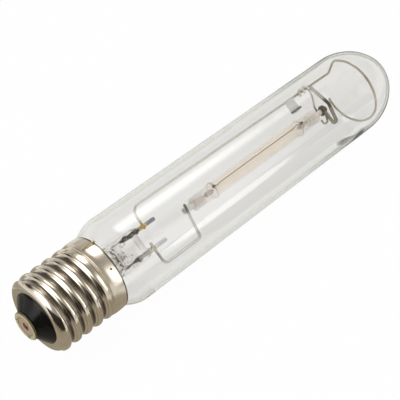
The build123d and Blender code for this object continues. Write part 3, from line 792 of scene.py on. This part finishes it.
def rimSolder():
    v = rimValues
    piece = addNew(
        "rimSolder", bpy.ops.mesh.primitive_uv_sphere_add,
        segments=40, ring_count=28, radius=1, rotation=(0, math.pi / 2, 0),
    )
    applyPlace()
    a = math.radians(v["angle"])
    out, along = Vector((0, math.cos(a), math.sin(a))), Vector((0, -math.sin(a), math.cos(a)))
    middle, half = (v["start"] + v["end"]) / 2, (v["end"] - v["start"]) / 2
    for vertex in piece.data.vertices:
        p = vertex.co
        share = (p.x + 1) / 2  # from the tail to the rim
        full = math.copysign(abs(p.x) ** 0.8, p.x)
        wide = v["wide"] * (0.55 + 0.45 * easeIn(share, 0.2, 0.9))
        high = v["high"] * (0.6 + 0.4 * easeIn(share, 0.3, 0.95))
        lump = noise.noise(Vector((p.x * 3.1, p.y * 1.3, p.z * 1.3)) + Vector((3, 1, 7)))
        rise = high * p.y * (1 + 0.35 * lump) if p.y > 0 else v["under"] * p.y
        side = wide * p.z * (1 + 0.3 * lump) + 0.22 * math.sin(3.4 * share)
        vertex.co = (Vector((middle + half * full, 0, 0)) + out * (v["middle"] + rise) + along * side) * mm
    tidyMesh(piece)
    return piece


rimMetal = solderMetal("rimSolderMetal", (0.78, 0.68, 0.44), (0.30, 0.21, 0.10), 0.3)
finishPiece(rimSolder(), "rim_solder", rimMetal, 60)
print("rim solder made")


# lead wires and rods

golden, paleGold = (0.86, 0.60, 0.17), (0.93, 0.87, 0.56)
frameWeld, supportWeld = inMount(76.4, 5.75, 1.1), inMount(74.2, -5.75, 1.0)
leadValues = {
    "top": 84.5, "supportShort": 1.3, "offset": 5.75, "rod": 1.0, "contact": 0.4, "thin": 0.15, "rimAngle": 83,
    # foot of a rod, with the knot where the lead was joined: distance along the lamp, radius
    "foot": [(62, 0.0), (62, 0.45), (62.3, 0.62), (63.2, 0.66), (64.2, 0.8), (65, 1.05), (65.8, 1.12), (66.6, 0.9)]
    + [(67.4, 0.78), (68.3, 0.95), (69, 1.0)],
    "rodRows": (70, 72, 75, 78, 81), "knotLump": 0.75,
    "tip": [(0.5, 1.0), (0.2, 0.93), (0.05, 0.7), (0, 0.35), (0, 0.0)],  # distance back from the top, radius
    "contactPath": [(62, -5.75, 0), (13, -5.75, 0), (7.6, 0, 0), (0.6, 0, 0)], "contactBends": [4, 1.5],
    "shellPath": [(62, 5.75, 0), (52, 5.75, 0)],
    # and on to the rim: distance along the lamp, radius
    "rimPath": [(20, 5.75), (11.4, 13.9), (11.4, 16.775), (37.5, 16.775), (43.5, 19.13), (45.17, 19.13), (45.17, 20.1)],
    "shellBends": [2, 2, 0.8, 0.8, 2, 0.5, 0.15],
    # heat colours: start, end, colour, colour of the flecks in it
    "frameZones": [
        (60, 75, (0.07, 0.052, 0.04), (0.62, 0.55, 0.50)), (78.6, 90, (0.36, 0.34, 0.43), (0.30, 0.28, 0.36)),
    ],
    "supportZones": [
        (60, 65.2, (0.10, 0.08, 0.06), (0.45, 0.40, 0.35)), (65.2, 70, (0.56, 0.51, 0.46), (0.36, 0.31, 0.27)),
        (76.4, 78.4, (0.80, 0.79, 0.83), (0.74, 0.73, 0.78)), (78.4, 90, (0.66, 0.65, 0.76), (0.58, 0.57, 0.68)),
    ],
}


def wireMetal(
    name, colour, dark=(0.40, 0.37, 0.33), share=0.35, rough=0.26, metal=1.0,
    sideShade=0.75, turned=(0.25, 0.8), zones=(), spots=(),
):
    # drawn wire: fine lines along it, patches of oxide, heat colour in zones along the lamp and in spots round the
    # welds, and painted shade at its sides; a spot can also be a painted highlight
    material, s = startFinish(name)
    lines = grain(s, 1.2, 3.0, 0.6, (0.25, 2.5, 2.5))
    patch = grain(s, 0.35, 4.0, 0.65).limit(0.5, 0.72)
    tone = (lines * share).blend(rgb(colour), rgb(dark))
    tone = (patch * share).blend(tone, rgb(dark))
    x = placeParts(s)[0]
    flecks = grain(s, 1.3, 4.0, 0.65).limit(0.55, 0.62)
    for low, high, tint, fleck in zones:
        inside = x.within(low - 0.7, low + 0.7, high - 0.7, high + 0.7)
        tone = (inside * 0.9).blend(tone, flecks.blend(rgb(tint), rgb(fleck)))
    for place, reach, tint in spots:
        tone = (spotMask(s, place, reach) * 0.92).blend(tone, rgb(tint))
    # painted shade: darker where the wire is looked along
    tone = (lookedAlong(s).limit(*turned) * sideShade).blend(tone, rgb(dark, 0.3))  # round wire is darker at its sides
    return closeSolid(material, s, tone, lines * 0.2 + rough, bumpFrom(s, lines, 0.2, 0.03), Metallic=metal)


def weldNugget(place, size, seed):
    # a squashed drop of metal where two wires cross
    piece = addNew("weld", bpy.ops.mesh.primitive_ico_sphere_add, subdivisions=4, radius=1)
    for vertex in piece.data.vertices:
        lump = noise.noise(vertex.co * 1.6 + Vector((seed, 2 * seed, 0.5)))
        grown = vertex.co * (1 + 0.28 * lump)
        vertex.co = place + inMount(grown.x * size[0], grown.y * size[1], grown.z * size[2])
    tidyMesh(piece)
    return piece


def leadRod(name, node, side, top, material):
    v = leadValues
    outline = v["foot"] + [(x, v["rod"]) for x in v["rodRows"]] + [(top - back, r) for back, r in v["tip"]]
    rod = turnedPiece(name, outline, 28)
    for vertex in rod.data.vertices:  # the knot is lumpy
        knot = easeIn(vertex.co.x / mm, 62.5, 65) * (1 - easeIn(vertex.co.x / mm, 68, 70.5))
        swell = 1 + v["knotLump"] * knot * noise.noise(vertex.co * 700 + Vector((side, 0, 0)))
        vertex.co.y *= swell
        vertex.co.z *= swell
    shiftPiece(rod, side * v["offset"])
    finishPiece(rod, node, material, 50)


v = leadValues
frameLeadMetal = wireMetal(
    "frameLeadMetal", (0.62, 0.58, 0.55), rough=0.3, zones=v["frameZones"], spots=[(frameWeld, 3.2, golden)]
)
supportLeadMetal = wireMetal(
    "supportLeadMetal", (0.66, 0.63, 0.60), rough=0.3, zones=v["supportZones"], spots=[(supportWeld, 2.8, paleGold)]
)
leadRod("frameLead", "frame_lead", 1, v["top"], frameLeadMetal)
leadRod("supportLead", "support_lead", -1, v["top"] - v["supportShort"], supportLeadMetal)

thinMetal = wireMetal("thinLeadMetal", (0.40, 0.33, 0.27), (0.12, 0.09, 0.07))
contactLead = bentWire("contactLead", mountPath(v["contactPath"]), v["contactBends"], v["contact"])
finishPiece(contactLead, "contact_lead", thinMetal, 50)
toRim = [roundLamp(x, radius, math.radians(v["rimAngle"])) for x, radius in v["rimPath"]]
shellLead = bentWire("shellLead", mountPath(v["shellPath"]) + toRim, v["shellBends"], v["thin"], 4)
finishPiece(shellLead, "shell_lead", thinMetal, 50)
print("leads made")


# frame wire with its open ring

frameValues = {
    "radius": 0.62, "foot": 76.4, "footStart": 4.15, "footOffset": 16.0, "top": 221, "topOffset": 14.5, "depth": 1.72,
    "bends": [5, 2.2, 2.2], "weldSize": (1.25, 1.3, 1.0),
    "ringX": 226.4, "ringRadius": 18.4, "ringStart": 28, "ringEnd": 281, "ringLead": 4.5, "ringKnots": 28,
    # heat colours of the ring and of the top of the upright
    "zones": [(218, 240, (0.62, 0.56, 0.41), (0.44, 0.39, 0.27)), (193, 218, (0.60, 0.55, 0.42), (0.46, 0.41, 0.30))],
}


def ringPlace(degrees):
    return roundMount(frameValues["ringX"], frameValues["ringRadius"], math.radians(degrees))


v = frameValues
first = math.radians(v["ringStart"])
cornerAcross = v["ringRadius"] * math.cos(first) + v["ringLead"] * math.sin(first)
cornerOut = v["ringRadius"] * math.sin(first) - v["ringLead"] * math.cos(first)
uprightPath = mountPath([
    (v["foot"], v["footStart"], v["depth"]), (v["foot"], v["footOffset"], v["depth"]),
    (v["top"], v["topOffset"], v["depth"]), (v["ringX"], cornerAcross, cornerOut),
])
upright = bentWire("upright", uprightPath + [ringPlace(v["ringStart"])], v["bends"], v["radius"])
sweep, count = v["ringEnd"] - v["ringStart"], v["ringKnots"]
ring = flowingWire("ring", [ringPlace(v["ringStart"] + sweep * i / count) for i in range(count + 1)], v["radius"])
frameWire = joinPieces("frameWire", [upright, ring, weldNugget(frameWeld, v["weldSize"], 3.1)])
frameMetal = wireMetal(
    "mountWireMetal", (0.97, 0.95, 0.88), (0.66, 0.61, 0.50), share=0.22, rough=0.1, metal=0.75, sideShade=0.6,
    zones=v["zones"], spots=[(frameWeld, 3.4, golden)],
)
finishPiece(frameWire, "frame_wire", frameMetal, 60)


# lower support wire

supportValues = {
    "radius": 0.65, "bends": [2.2, 2.2], "weldSize": (1.4, 1.4, 1.1),
    "path": [(74.2, -2.65, 1.67), (74.2, -15.1, 1.67), (97.9, -15.1, 2.27), (101.1, 2.8, 2.27)],
    "burntEnd": (inMount(100.8, 1.2, 2.3), 4.4, (0.24, 0.20, 0.17)),
}
v = supportValues
support = bentWire("lowerSupportWire", mountPath(v["path"]), v["bends"], v["radius"])
support = joinPieces("lowerSupportWire", [support, weldNugget(supportWeld, v["weldSize"], 1.4)])
supportMetal = wireMetal(
    "supportWireMetal", (1.0, 0.98, 0.93), (0.34, 0.27, 0.20), share=0.1, rough=0.14, metal=0.85, sideShade=0.95,
    turned=(0.14, 0.5), spots=[(supportWeld, 2.6, paleGold), v["burntEnd"]],
)
finishPiece(support, "lower_support_wire", supportMetal, 60)


# upper support wire: coiled on the frame wire, wound round the feedthrough, hooked at its end

upperValues = {
    "radius": 0.55, "coilStart": 195.9, "coilPitch": 3.25, "coilTurns": 2.5, "coilRadius": 1.5, "coilAngle": 56.1,
    "coilMiddle": 201,
    "across": [(203.3, 12.6, 2.2), (201.6, 8.0, 2.5), (200.3, 4.0, 1.4), (201.2, 2.7, -0.2), (202.3, 1.6, -1.7)],
    "eyeX": 203.1, "eyeRadius": 2.3, "eyeStart": -75, "eyePitch": 0.95, "eyeUneven": 0.14,
    "eyeKnots": 33, "perTurn": 15,
    "hook": [(203.8, 0.6, 2.3), (203.0, -2.4, 2.3), (200.9, -6.5, 2.3), (198.3, -6.5, 2.3), (198.2, -3.7, 2.3)],
    "hookBends": [1.5, 1.2, 1.0],
    # darkened on the feedthrough; a painted highlight makes it bright where it is coiled on the frame
    "spots": [
        (inMount(202.5, -2.0, 1.4), 8.5, (0.34, 0.29, 0.18)), (inMount(204.2, 0.2, 1.2), 4.2, (0.17, 0.13, 0.085)),
        (inMount(200.0, 15.3, 1.7), 5.2, (1.0, 0.99, 0.95)),
    ],
}
v, f = upperValues, frameValues
share = (v["coilMiddle"] - f["foot"]) / (f["top"] - f["foot"])
offset = f["footOffset"] + share * (f["topOffset"] - f["footOffset"])
places = []
for i in range(int(v["coilTurns"] * 10) + 1):
    turn = i / 10
    angle = math.radians(v["coilAngle"] + 360 * turn)
    across, out = v["coilRadius"] * math.cos(angle), v["coilRadius"] * math.sin(angle)
    places.append(inMount(v["coilStart"] + v["coilPitch"] * turn, offset + across, f["depth"] + out))
places += mountPath(v["across"])
for i in range(v["eyeKnots"]):  # twice round the feedthrough
    angle = math.radians(v["eyeStart"] - 360 * i / v["perTurn"])
    far = v["eyeRadius"] + v["eyeUneven"] * math.sin(2.3 * i)
    places.append(roundMount(v["eyeX"] + v["eyePitch"] * i / v["perTurn"], far, angle))
coil = flowingWire("coil", places, v["radius"])
hook = bentWire("hook", mountPath(v["hook"]), v["hookBends"], v["radius"])
upperSupport = joinPieces("upperSupportWire", [coil, hook])
upperMetal = wireMetal(
    "upperWireMetal", (0.74, 0.72, 0.67), (0.60, 0.56, 0.50), share=0.1, rough=0.3, metal=0.85, sideShade=0.1,
    spots=v["spots"],
)
finishPiece(upperSupport, "upper_support_wire", upperMetal, 60)


# current strap, a hairpin from the frame wire to the upper feedthrough

strapValues = {
    "radius": 0.95, "bends": [3, 1.15, 1.15],
    "path": [(204.9, 13.7, 2.5), (208.5, 1.2, 2.5), (206.0, -8.8, 2.5), (203.5, -8.8, 2.5), (203.3, -1.3, 2.5)],
    # pale at its upper end, burnt at the knee
    "spots": [
        (inMount(205.4, 11.6, 2.5), 9.0, (0.80, 0.78, 0.74)), (inMount(208.2, 1.6, 2.4), 4.2, (0.11, 0.08, 0.065)),
    ],
}
v = strapValues
strapMetal = wireMetal("strapMetal", (0.52, 0.49, 0.40), (0.26, 0.23, 0.16), share=0.5, rough=0.35, spots=v["spots"])
strap = bentWire("flexibleStrap", mountPath(v["path"]), v["bends"], v["radius"])
finishPiece(strap, "flexible_strap", strapMetal, 60)
print("wire mount made")


# getter plate and bar

getterValues = {
    "x": 188.2, "top": 14.84, "drop": 7.6, "width": 6.2, "front": 2.44, "sheet": 0.35, "corner": 2.5,
    "margin": 0.5, "fieldEdge": 0.25, "fieldDepth": 0.12, "edgeBevel": 0.06,
    "bar": [(184.6, 8.34, 3.36), (191.8, 8.34, 3.36)], "barRadius": 0.55,
}


def getterPlate():
    v = getterValues
    piece = addNew("getterPlate", bpy.ops.mesh.primitive_plane_add, size=1)
    editAll()
    bpy.ops.transform.resize(value=(v["width"] * mm, v["drop"] * mm, 1))
    bpy.ops.mesh.bevel(offset=v["corner"] * mm, segments=8, affect="VERTICES")
    bpy.ops.mesh.inset(thickness=v["margin"] * mm, depth=0)
    bpy.ops.mesh.inset(thickness=v["fieldEdge"] * mm, depth=v["fieldDepth"] * mm)  # a shallow pressed field
    bpy.ops.object.mode_set(mode="OBJECT")
    middle = (v["x"], v["top"] - v["drop"] / 2, v["front"] + v["sheet"] / 2)
    for vertex in piece.data.vertices:
        vertex.co = inMount(*[start + step / mm for start, step in zip(middle, vertex.co)])
    tidyMesh(piece)
    useModifier(piece, "SOLIDIFY", thickness=v["sheet"] * mm, offset=0)
    useModifier(piece, "BEVEL", width=v["edgeBevel"] * mm, segments=2)
    return piece


v = getterValues
plateMetal = wireMetal("getterMetal", (0.90, 0.90, 0.89), (0.62, 0.61, 0.60), share=0.3, rough=0.42, metal=0.25)
barMetal = wireMetal("getterBarMetal", (0.34, 0.32, 0.30), (0.12, 0.11, 0.10), rough=0.35)
finishPiece(getterPlate(), "getter_plate", plateMetal, 40)
bar = bentWire("getterBar", mountPath(v["bar"]), [], v["barRadius"])
finishPiece(bar, "getter_bar", barMetal, 50)
print("getter made")


# arc tube, its plugs, feedthroughs and electrodes

arcValues = {
    "start": 106.5, "end": 198, "radius": 4, "rings": range(112, 197, 6),
    "lip": [(0.3, 3.3), (0, 3.5), (0, 3.75), (0.1, 3.93), (0.3, 4)],  # rounded end: distance from it, radius
    "feed": 1.6, "feedWall": 0.4, "feedFloor": 1.2, "marks": (0.34, 0.31, 0.29),
    "feeds": [
        ("lower_feedthrough", "lowerFeedthrough", 113, 99.8), ("upper_feedthrough", "upperFeedthrough", 191.5, 206.5),
    ],
    "burntEnd": (202.2, 210, (0.15, 0.12, 0.07), (0.05, 0.04, 0.025)),
}


def ceramic(name, pale, warm, body, clearer, rough):
    # sintered ceramic, milky and partly see-through: warm along its hot middle, clearer towards its ends
    material, s = startFinish(name)
    x = placeParts(s)[0]
    cloud = grain(s, 0.3, 4.0, 0.6)
    pores = grain(s, 3.5, 3.0, 0.6)
    hot = x.within(112, 128, 178, 192) * (cloud * 0.5 + 0.75)
    milky = x.within(108, 126, 182, 197) * (body - clearer) + clearer + cloud * 0.06
    marks = grain(s, 0.55, 3.0, 0.6).limit(0.62, 0.70) * (1 - x.within(114, 119, 185, 189))
    tone = hot.blend(rgb(pale), rgb(warm))
    tone = (marks * 0.6).blend(tone, rgb(arcValues["marks"]))
    bump = bumpFrom(s, pores, 0.12, 0.02)
    return closeSolid(material, s, tone, pores * 0.12 + rough, bump, IOR=1.76, Alpha=milky)


v = arcValues
arcCeramic = ceramic("arcTubeCeramic", (0.97, 0.90, 0.85), (1.0, 0.86, 0.68), 0.16, 0.12, 0.26)
plugCeramic = ceramic("plugCeramic", (0.98, 0.91, 0.84), (0.97, 0.90, 0.81), 0.36, 0.34, 0.4)
lowerLip = [(v["start"] + back, radius) for back, radius in v["lip"]]
upperLip = [(v["end"] - back, radius) for back, radius in reversed(v["lip"])]
arcTube = turnedPiece("arcTube", lowerLip + [(x, v["radius"]) for x in v["rings"]] + upperLip, 64, closed=True)
finishPiece(arcTube, "arc_tube", arcCeramic, 40)
dressNodes(plugCeramic, "lower_end_plug", "upper_end_plug")

feedMetal = wireMetal(
    "feedMetal", (1.0, 0.98, 0.95), (0.62, 0.57, 0.52), share=0.12, rough=0.2, metal=0.3, sideShade=0.8,
    zones=[v["burntEnd"]],
)
r = v["feed"]
bore = r - v["feedWall"]
for node, name, start, end in v["feeds"]:
    way = 1 if end > start else -1
    floor = start + way * v["feedFloor"]
    outline = [(start, 0.0), (start, r - 0.15), (start + way * 0.15, r), (end - way * 4, r), (end - way * 0.15, r)]
    outline += [(end, r - 0.12), (end, bore + 0.1), (end - way * 0.1, bore), (floor, bore), (floor, 0.0)]
    finishPiece(turnedPiece(name, outline, 40), node, feedMetal, 45)

electrodeMetal = wireMetal("electrodeMetal", (0.60, 0.57, 0.54), (0.38, 0.36, 0.34), rough=0.4)
dressNodes(electrodeMetal, "lower_electrode", "upper_electrode")


# starting aid: a thin wire along the arc tube, with a loop and a bit at each end that holds it

aidValues = {
    "start": 119.7, "end": 184.8, "track": 4.24, "angle": 72, "radius": 0.22, "run": range(125, 184, 6),
    "loop": 400, "loopPitch": 0.9, "loopKnots": 16,
    "twists": [(119.6, 1.31, 4.25), (185.3, 1.31, 4.25)],
    "twistSize": (1.05, 0.62, 0.42), "twistColour": (0.15, 0.12, 0.09),
    # the loops are paler than the run between them
    "zones": [(low, high, (0.84, 0.79, 0.72), (0.74, 0.69, 0.62)) for low, high in ((118, 120.9), (183.7, 187))],
}


def onTube(x, turn):
    return roundMount(x, aidValues["track"], math.radians(aidValues["angle"] + turn))


v = aidValues
shares = [i / v["loopKnots"] for i in range(v["loopKnots"] + 1)]
places = [onTube(v["start"] + v["loopPitch"] * share, -v["loop"] * (1 - share)) for share in shares]
places += [onTube(x, 0) for x in v["run"]]
places += [onTube(v["end"] - v["loopPitch"] * (1 - share), v["loop"] * share) for share in shares]
aid = flowingWire("startingAidWire", places, v["radius"], 3, 4)
twists = mountPath(v["twists"])
aid = joinPieces("startingAidWire", [aid] + [weldNugget(place, v["twistSize"], 5.2) for place in twists])
aidMetal = wireMetal(
    "aidWireMetal", (0.46, 0.40, 0.31), (0.26, 0.20, 0.13), rough=0.3, sideShade=0.15,
    zones=v["zones"], spots=[(place, 1.7, v["twistColour"]) for place in twists],
)
finishPiece(aid, "starting_aid_wire", aidMetal, 60)
print("arc tube made")


# cement between shell and neck

cementValues = {"pale": (0.62, 0.58, 0.50), "dark": (0.44, 0.40, 0.33), "rough": 0.75}


def cementFinish(name):
    v = cementValues
    material, s = startFinish(name)
    grit = grain(s, 1.8, 5.0, 0.7)
    tone = grit.limit(0.35, 0.7).blend(rgb(v["pale"]), rgb(v["dark"]))
    return closeSolid(material, s, tone, grit * 0.2 + v["rough"], bumpFrom(s, grit, 0.8, 0.2))


dressNodes(cementFinish("cementFinish"), "cap_cement")
print("cement dressed")


# studio: pale floor, soft lamps, white surroundings, dark cards beside the lamp

studioValues = {
    "floorZ": -23.0, "floorColour": (0.82, 0.82, 0.82), "floorSize": 8, "white": (1, 1, 1),
    # how much of the floor's shade each kind of ray loses
    "seenShare": 0.975, "throughShare": 0.70, "mirrorShare": 0.45,
    "lampThrough": 0.55,  # how bright a lamp is through the glass
    "horizon": (0.78, 0.77, 0.75), "sky": (0.42, 0.40, 0.37), "zenith": (0.34, 0.32, 0.29),
    "cap": (20, 0, 0), "aim": (60, 0, 0),  # what the cards face and what the lamps shine at
}


def largest(shade, a, b, c):
    return shade.maths("MAXIMUM", shade.maths("MAXIMUM", a, b), c)


def paleFloor():
    v = studioValues
    place = (0.1, 0, v["floorZ"] * mm - 0.0002)
    floor = addNew("paleFloor", bpy.ops.mesh.primitive_plane_add, size=v["floorSize"], location=place)
    material, s = startFinish("floorFinish")
    wash = s.node("ShaderNodeBsdfDiffuse", None, {"Color": rgb(v["floorColour"])})
    white = s.node("ShaderNodeEmission", None, {"Color": rgb(v["white"]), "Strength": 1.0})
    seen = rayIs(s, "Is Camera Ray") * v["seenShare"]
    mirrored = rayIs(s, "Is Glossy Ray") * v["mirrorShare"]
    through = rayIs(s, "Is Transmission Ray") * v["throughShare"]
    surface = mixShaders(s, largest(s, seen, mirrored, through), wash, white)
    floor.data.materials.append(closeFinish(material, surface))


def paleRoom():
    # white at the horizon, greyer overhead
    v = studioValues
    world = bpy.data.worlds.new("paleRoom")
    bpy.context.scene.world = world
    world.use_nodes = True
    world.node_tree.nodes.clear()
    s = Shade(world.node_tree)
    towards = s.node("ShaderNodeTexCoord", None, None, out="Generated")
    height = s.node("ShaderNodeSeparateXYZ", None, {0: towards}, out=2)
    tone = height.limit(0.12, 0.42).blend(rgb(v["horizon"]), rgb(v["sky"]))
    tone = height.limit(0.75, 1.0).blend(tone, rgb(v["zenith"]))
    low = 1 - height.limit(0.0, 0.12)
    mirrored = rayIs(s, "Is Glossy Ray") * low * v["mirrorShare"]
    through = rayIs(s, "Is Transmission Ray") * low * v["throughShare"]
    tone = largest(s, rayIs(s, "Is Camera Ray"), mirrored, through).blend(tone, rgb(v["white"]))
    back = s.node("ShaderNodeBackground", None, {"Color": tone, "Strength": 1.0})
    back.node("ShaderNodeOutputWorld", None, {"Surface": back})


def roomPlace(azimuth, elevation, far):
    # a place in the room seen from the cap
    a, e = math.radians(azimuth), math.radians(elevation)
    towards = Vector((math.cos(e) * math.cos(a), math.cos(e) * math.sin(a), math.sin(e)))
    return Vector(studioValues["cap"]) + far * towards


def softCentre(shade, spot, core):
    # full in the middle of a lamp or card, faint at its edges
    away = vectorMaths(shade, "DISTANCE", spot, (0.5, 0.5, 0.0), "Value")
    return 1 - away.limit(0.5 * core, 0.5) * 0.92


def softLamp(name, azimuth, elevation, far, size, bright, core):
    place = roomPlace(azimuth, elevation, far)
    lamp = addNew(name, bpy.ops.object.light_add, type="AREA", location=place * mm)
    lamp.data.shape = "RECTANGLE"
    lamp.data.size, lamp.data.size_y = size[0] * mm, size[1] * mm
    lamp.data.energy = bright * math.pi * size[0] * size[1] * mm * mm
    lamp.rotation_mode = "QUATERNION"
    lamp.rotation_quaternion = (Vector(studioValues["aim"]) - place).to_track_quat("-Z", "Y")
    lamp.data.use_nodes = True
    lamp.data.node_tree.nodes.clear()
    s = Shade(lamp.data.node_tree)
    spot = s.node("ShaderNodeNewGeometry", None, None, out="Parametric")
    glow = s.node("ShaderNodeEmission", None, {"Strength": softCentre(s, spot, core)})
    glow.node("ShaderNodeOutputLight", None, {"Surface": glow})
    lamp.visible_camera = lamp.visible_transmission = False
    # a dimmer face stands in for the lamp behind glass
    level = bright * studioValues["lampThrough"]
    roomCard(name + "Face", azimuth, elevation, far, size, (level, level, level), core, through=True)


def glowCard(name, place, size, tone, core=None, through=False):
    # a card that only reflections show, or only rays that come through the glass
    card = addNew(name, bpy.ops.mesh.primitive_plane_add, size=1)
    card.data.transform(place @ Matrix.Diagonal((size[0] * mm, size[1] * mm, 1, 1)))
    material, s = startFinish(name + "Finish")
    level = softCentre(s, s.node("ShaderNodeTexCoord", None, None, out="UV"), core) if core else 1.0
    glow = s.node("ShaderNodeEmission", None, {"Color": rgb(tone), "Strength": level})
    card.data.materials.append(closeFinish(material, glow))
    card.visible_camera = card.visible_diffuse = card.visible_shadow = False
    card.visible_glossy, card.visible_transmission = not through, through


def roomCard(name, azimuth, elevation, far, size, tone, core=None, through=False):
    # a card that stands in the room and faces the cap
    place = roomPlace(azimuth, elevation, far)
    turn = (Vector(studioValues["cap"]) - place).to_track_quat("Z", "Y").to_matrix().to_4x4()
    glowCard(name, Matrix.Translation(place * mm) @ turn, size, tone, core, through)


def floorCard(name, x, y, size, tone):
    # painted shade: a dark card on the floor close to the lamp, seen only in reflections, for the floor the lamp shades
    glowCard(name, Matrix.Translation(Vector((x, y, studioValues["floorZ"] - 0.1)) * mm), size, tone)


bpy.context.scene.view_settings.view_transform = "Standard"
paleFloor()
paleRoom()
# lamps: degrees round and up, distance, size, brightness, share of the bright core
softLamp("leftLamp", 174, 33, 1000, (1250, 1350), 2.8, 0.3)
softLamp("rightLamp", -57, 27, 1200, (640, 1300), 2.2, 0.2)
softLamp("topLamp", 40, 54, 1200, (860, 760), 4.2, 0.25)
# cards: where they stand, size, how bright they are
roomCard("frontCard", -140, 6, 85, (130, 62), (0.022, 0.018, 0.014))
roomCard("backCard", 117, 23, 900, (500, 430), (0.05, 0.04, 0.03))
roomCard("rearCard", 108, -1, 900, (460, 190), (0.40, 0.38, 0.34))
roomCard("farCard", -14, 24, 1400, (1300, 640), (0.06, 0.05, 0.035))
# the next three floor cards are painted shade, for the floor the lamp shades
floorCard("underCard", 2, -20, (130, 140), (0.37, 0.335, 0.27))
floorCard("frontFloorCard", -88, -62, (110, 112), (0.03, 0.025, 0.02))
floorCard("rearFloorCard", -5, 92, (130, 80), (0.42, 0.39, 0.33))
roomCard("sideCard", 63, 2, 900, (380, 150), (0.30, 0.28, 0.25))
roomCard("streakCard", -50.2, 5.5, 415, (150, 110), (4.2, 4.2, 4.2), 0.7)
roomCard("duskCard", -37.6, 6, 542, (250, 130), (0.06, 0.055, 0.05))
# painted shade: a dark floor card by the tube, seen only in reflections
floorCard("tubeFloorCard", 265, -175, (280, 250), (0.12, 0.115, 0.10))
print("studio ready")
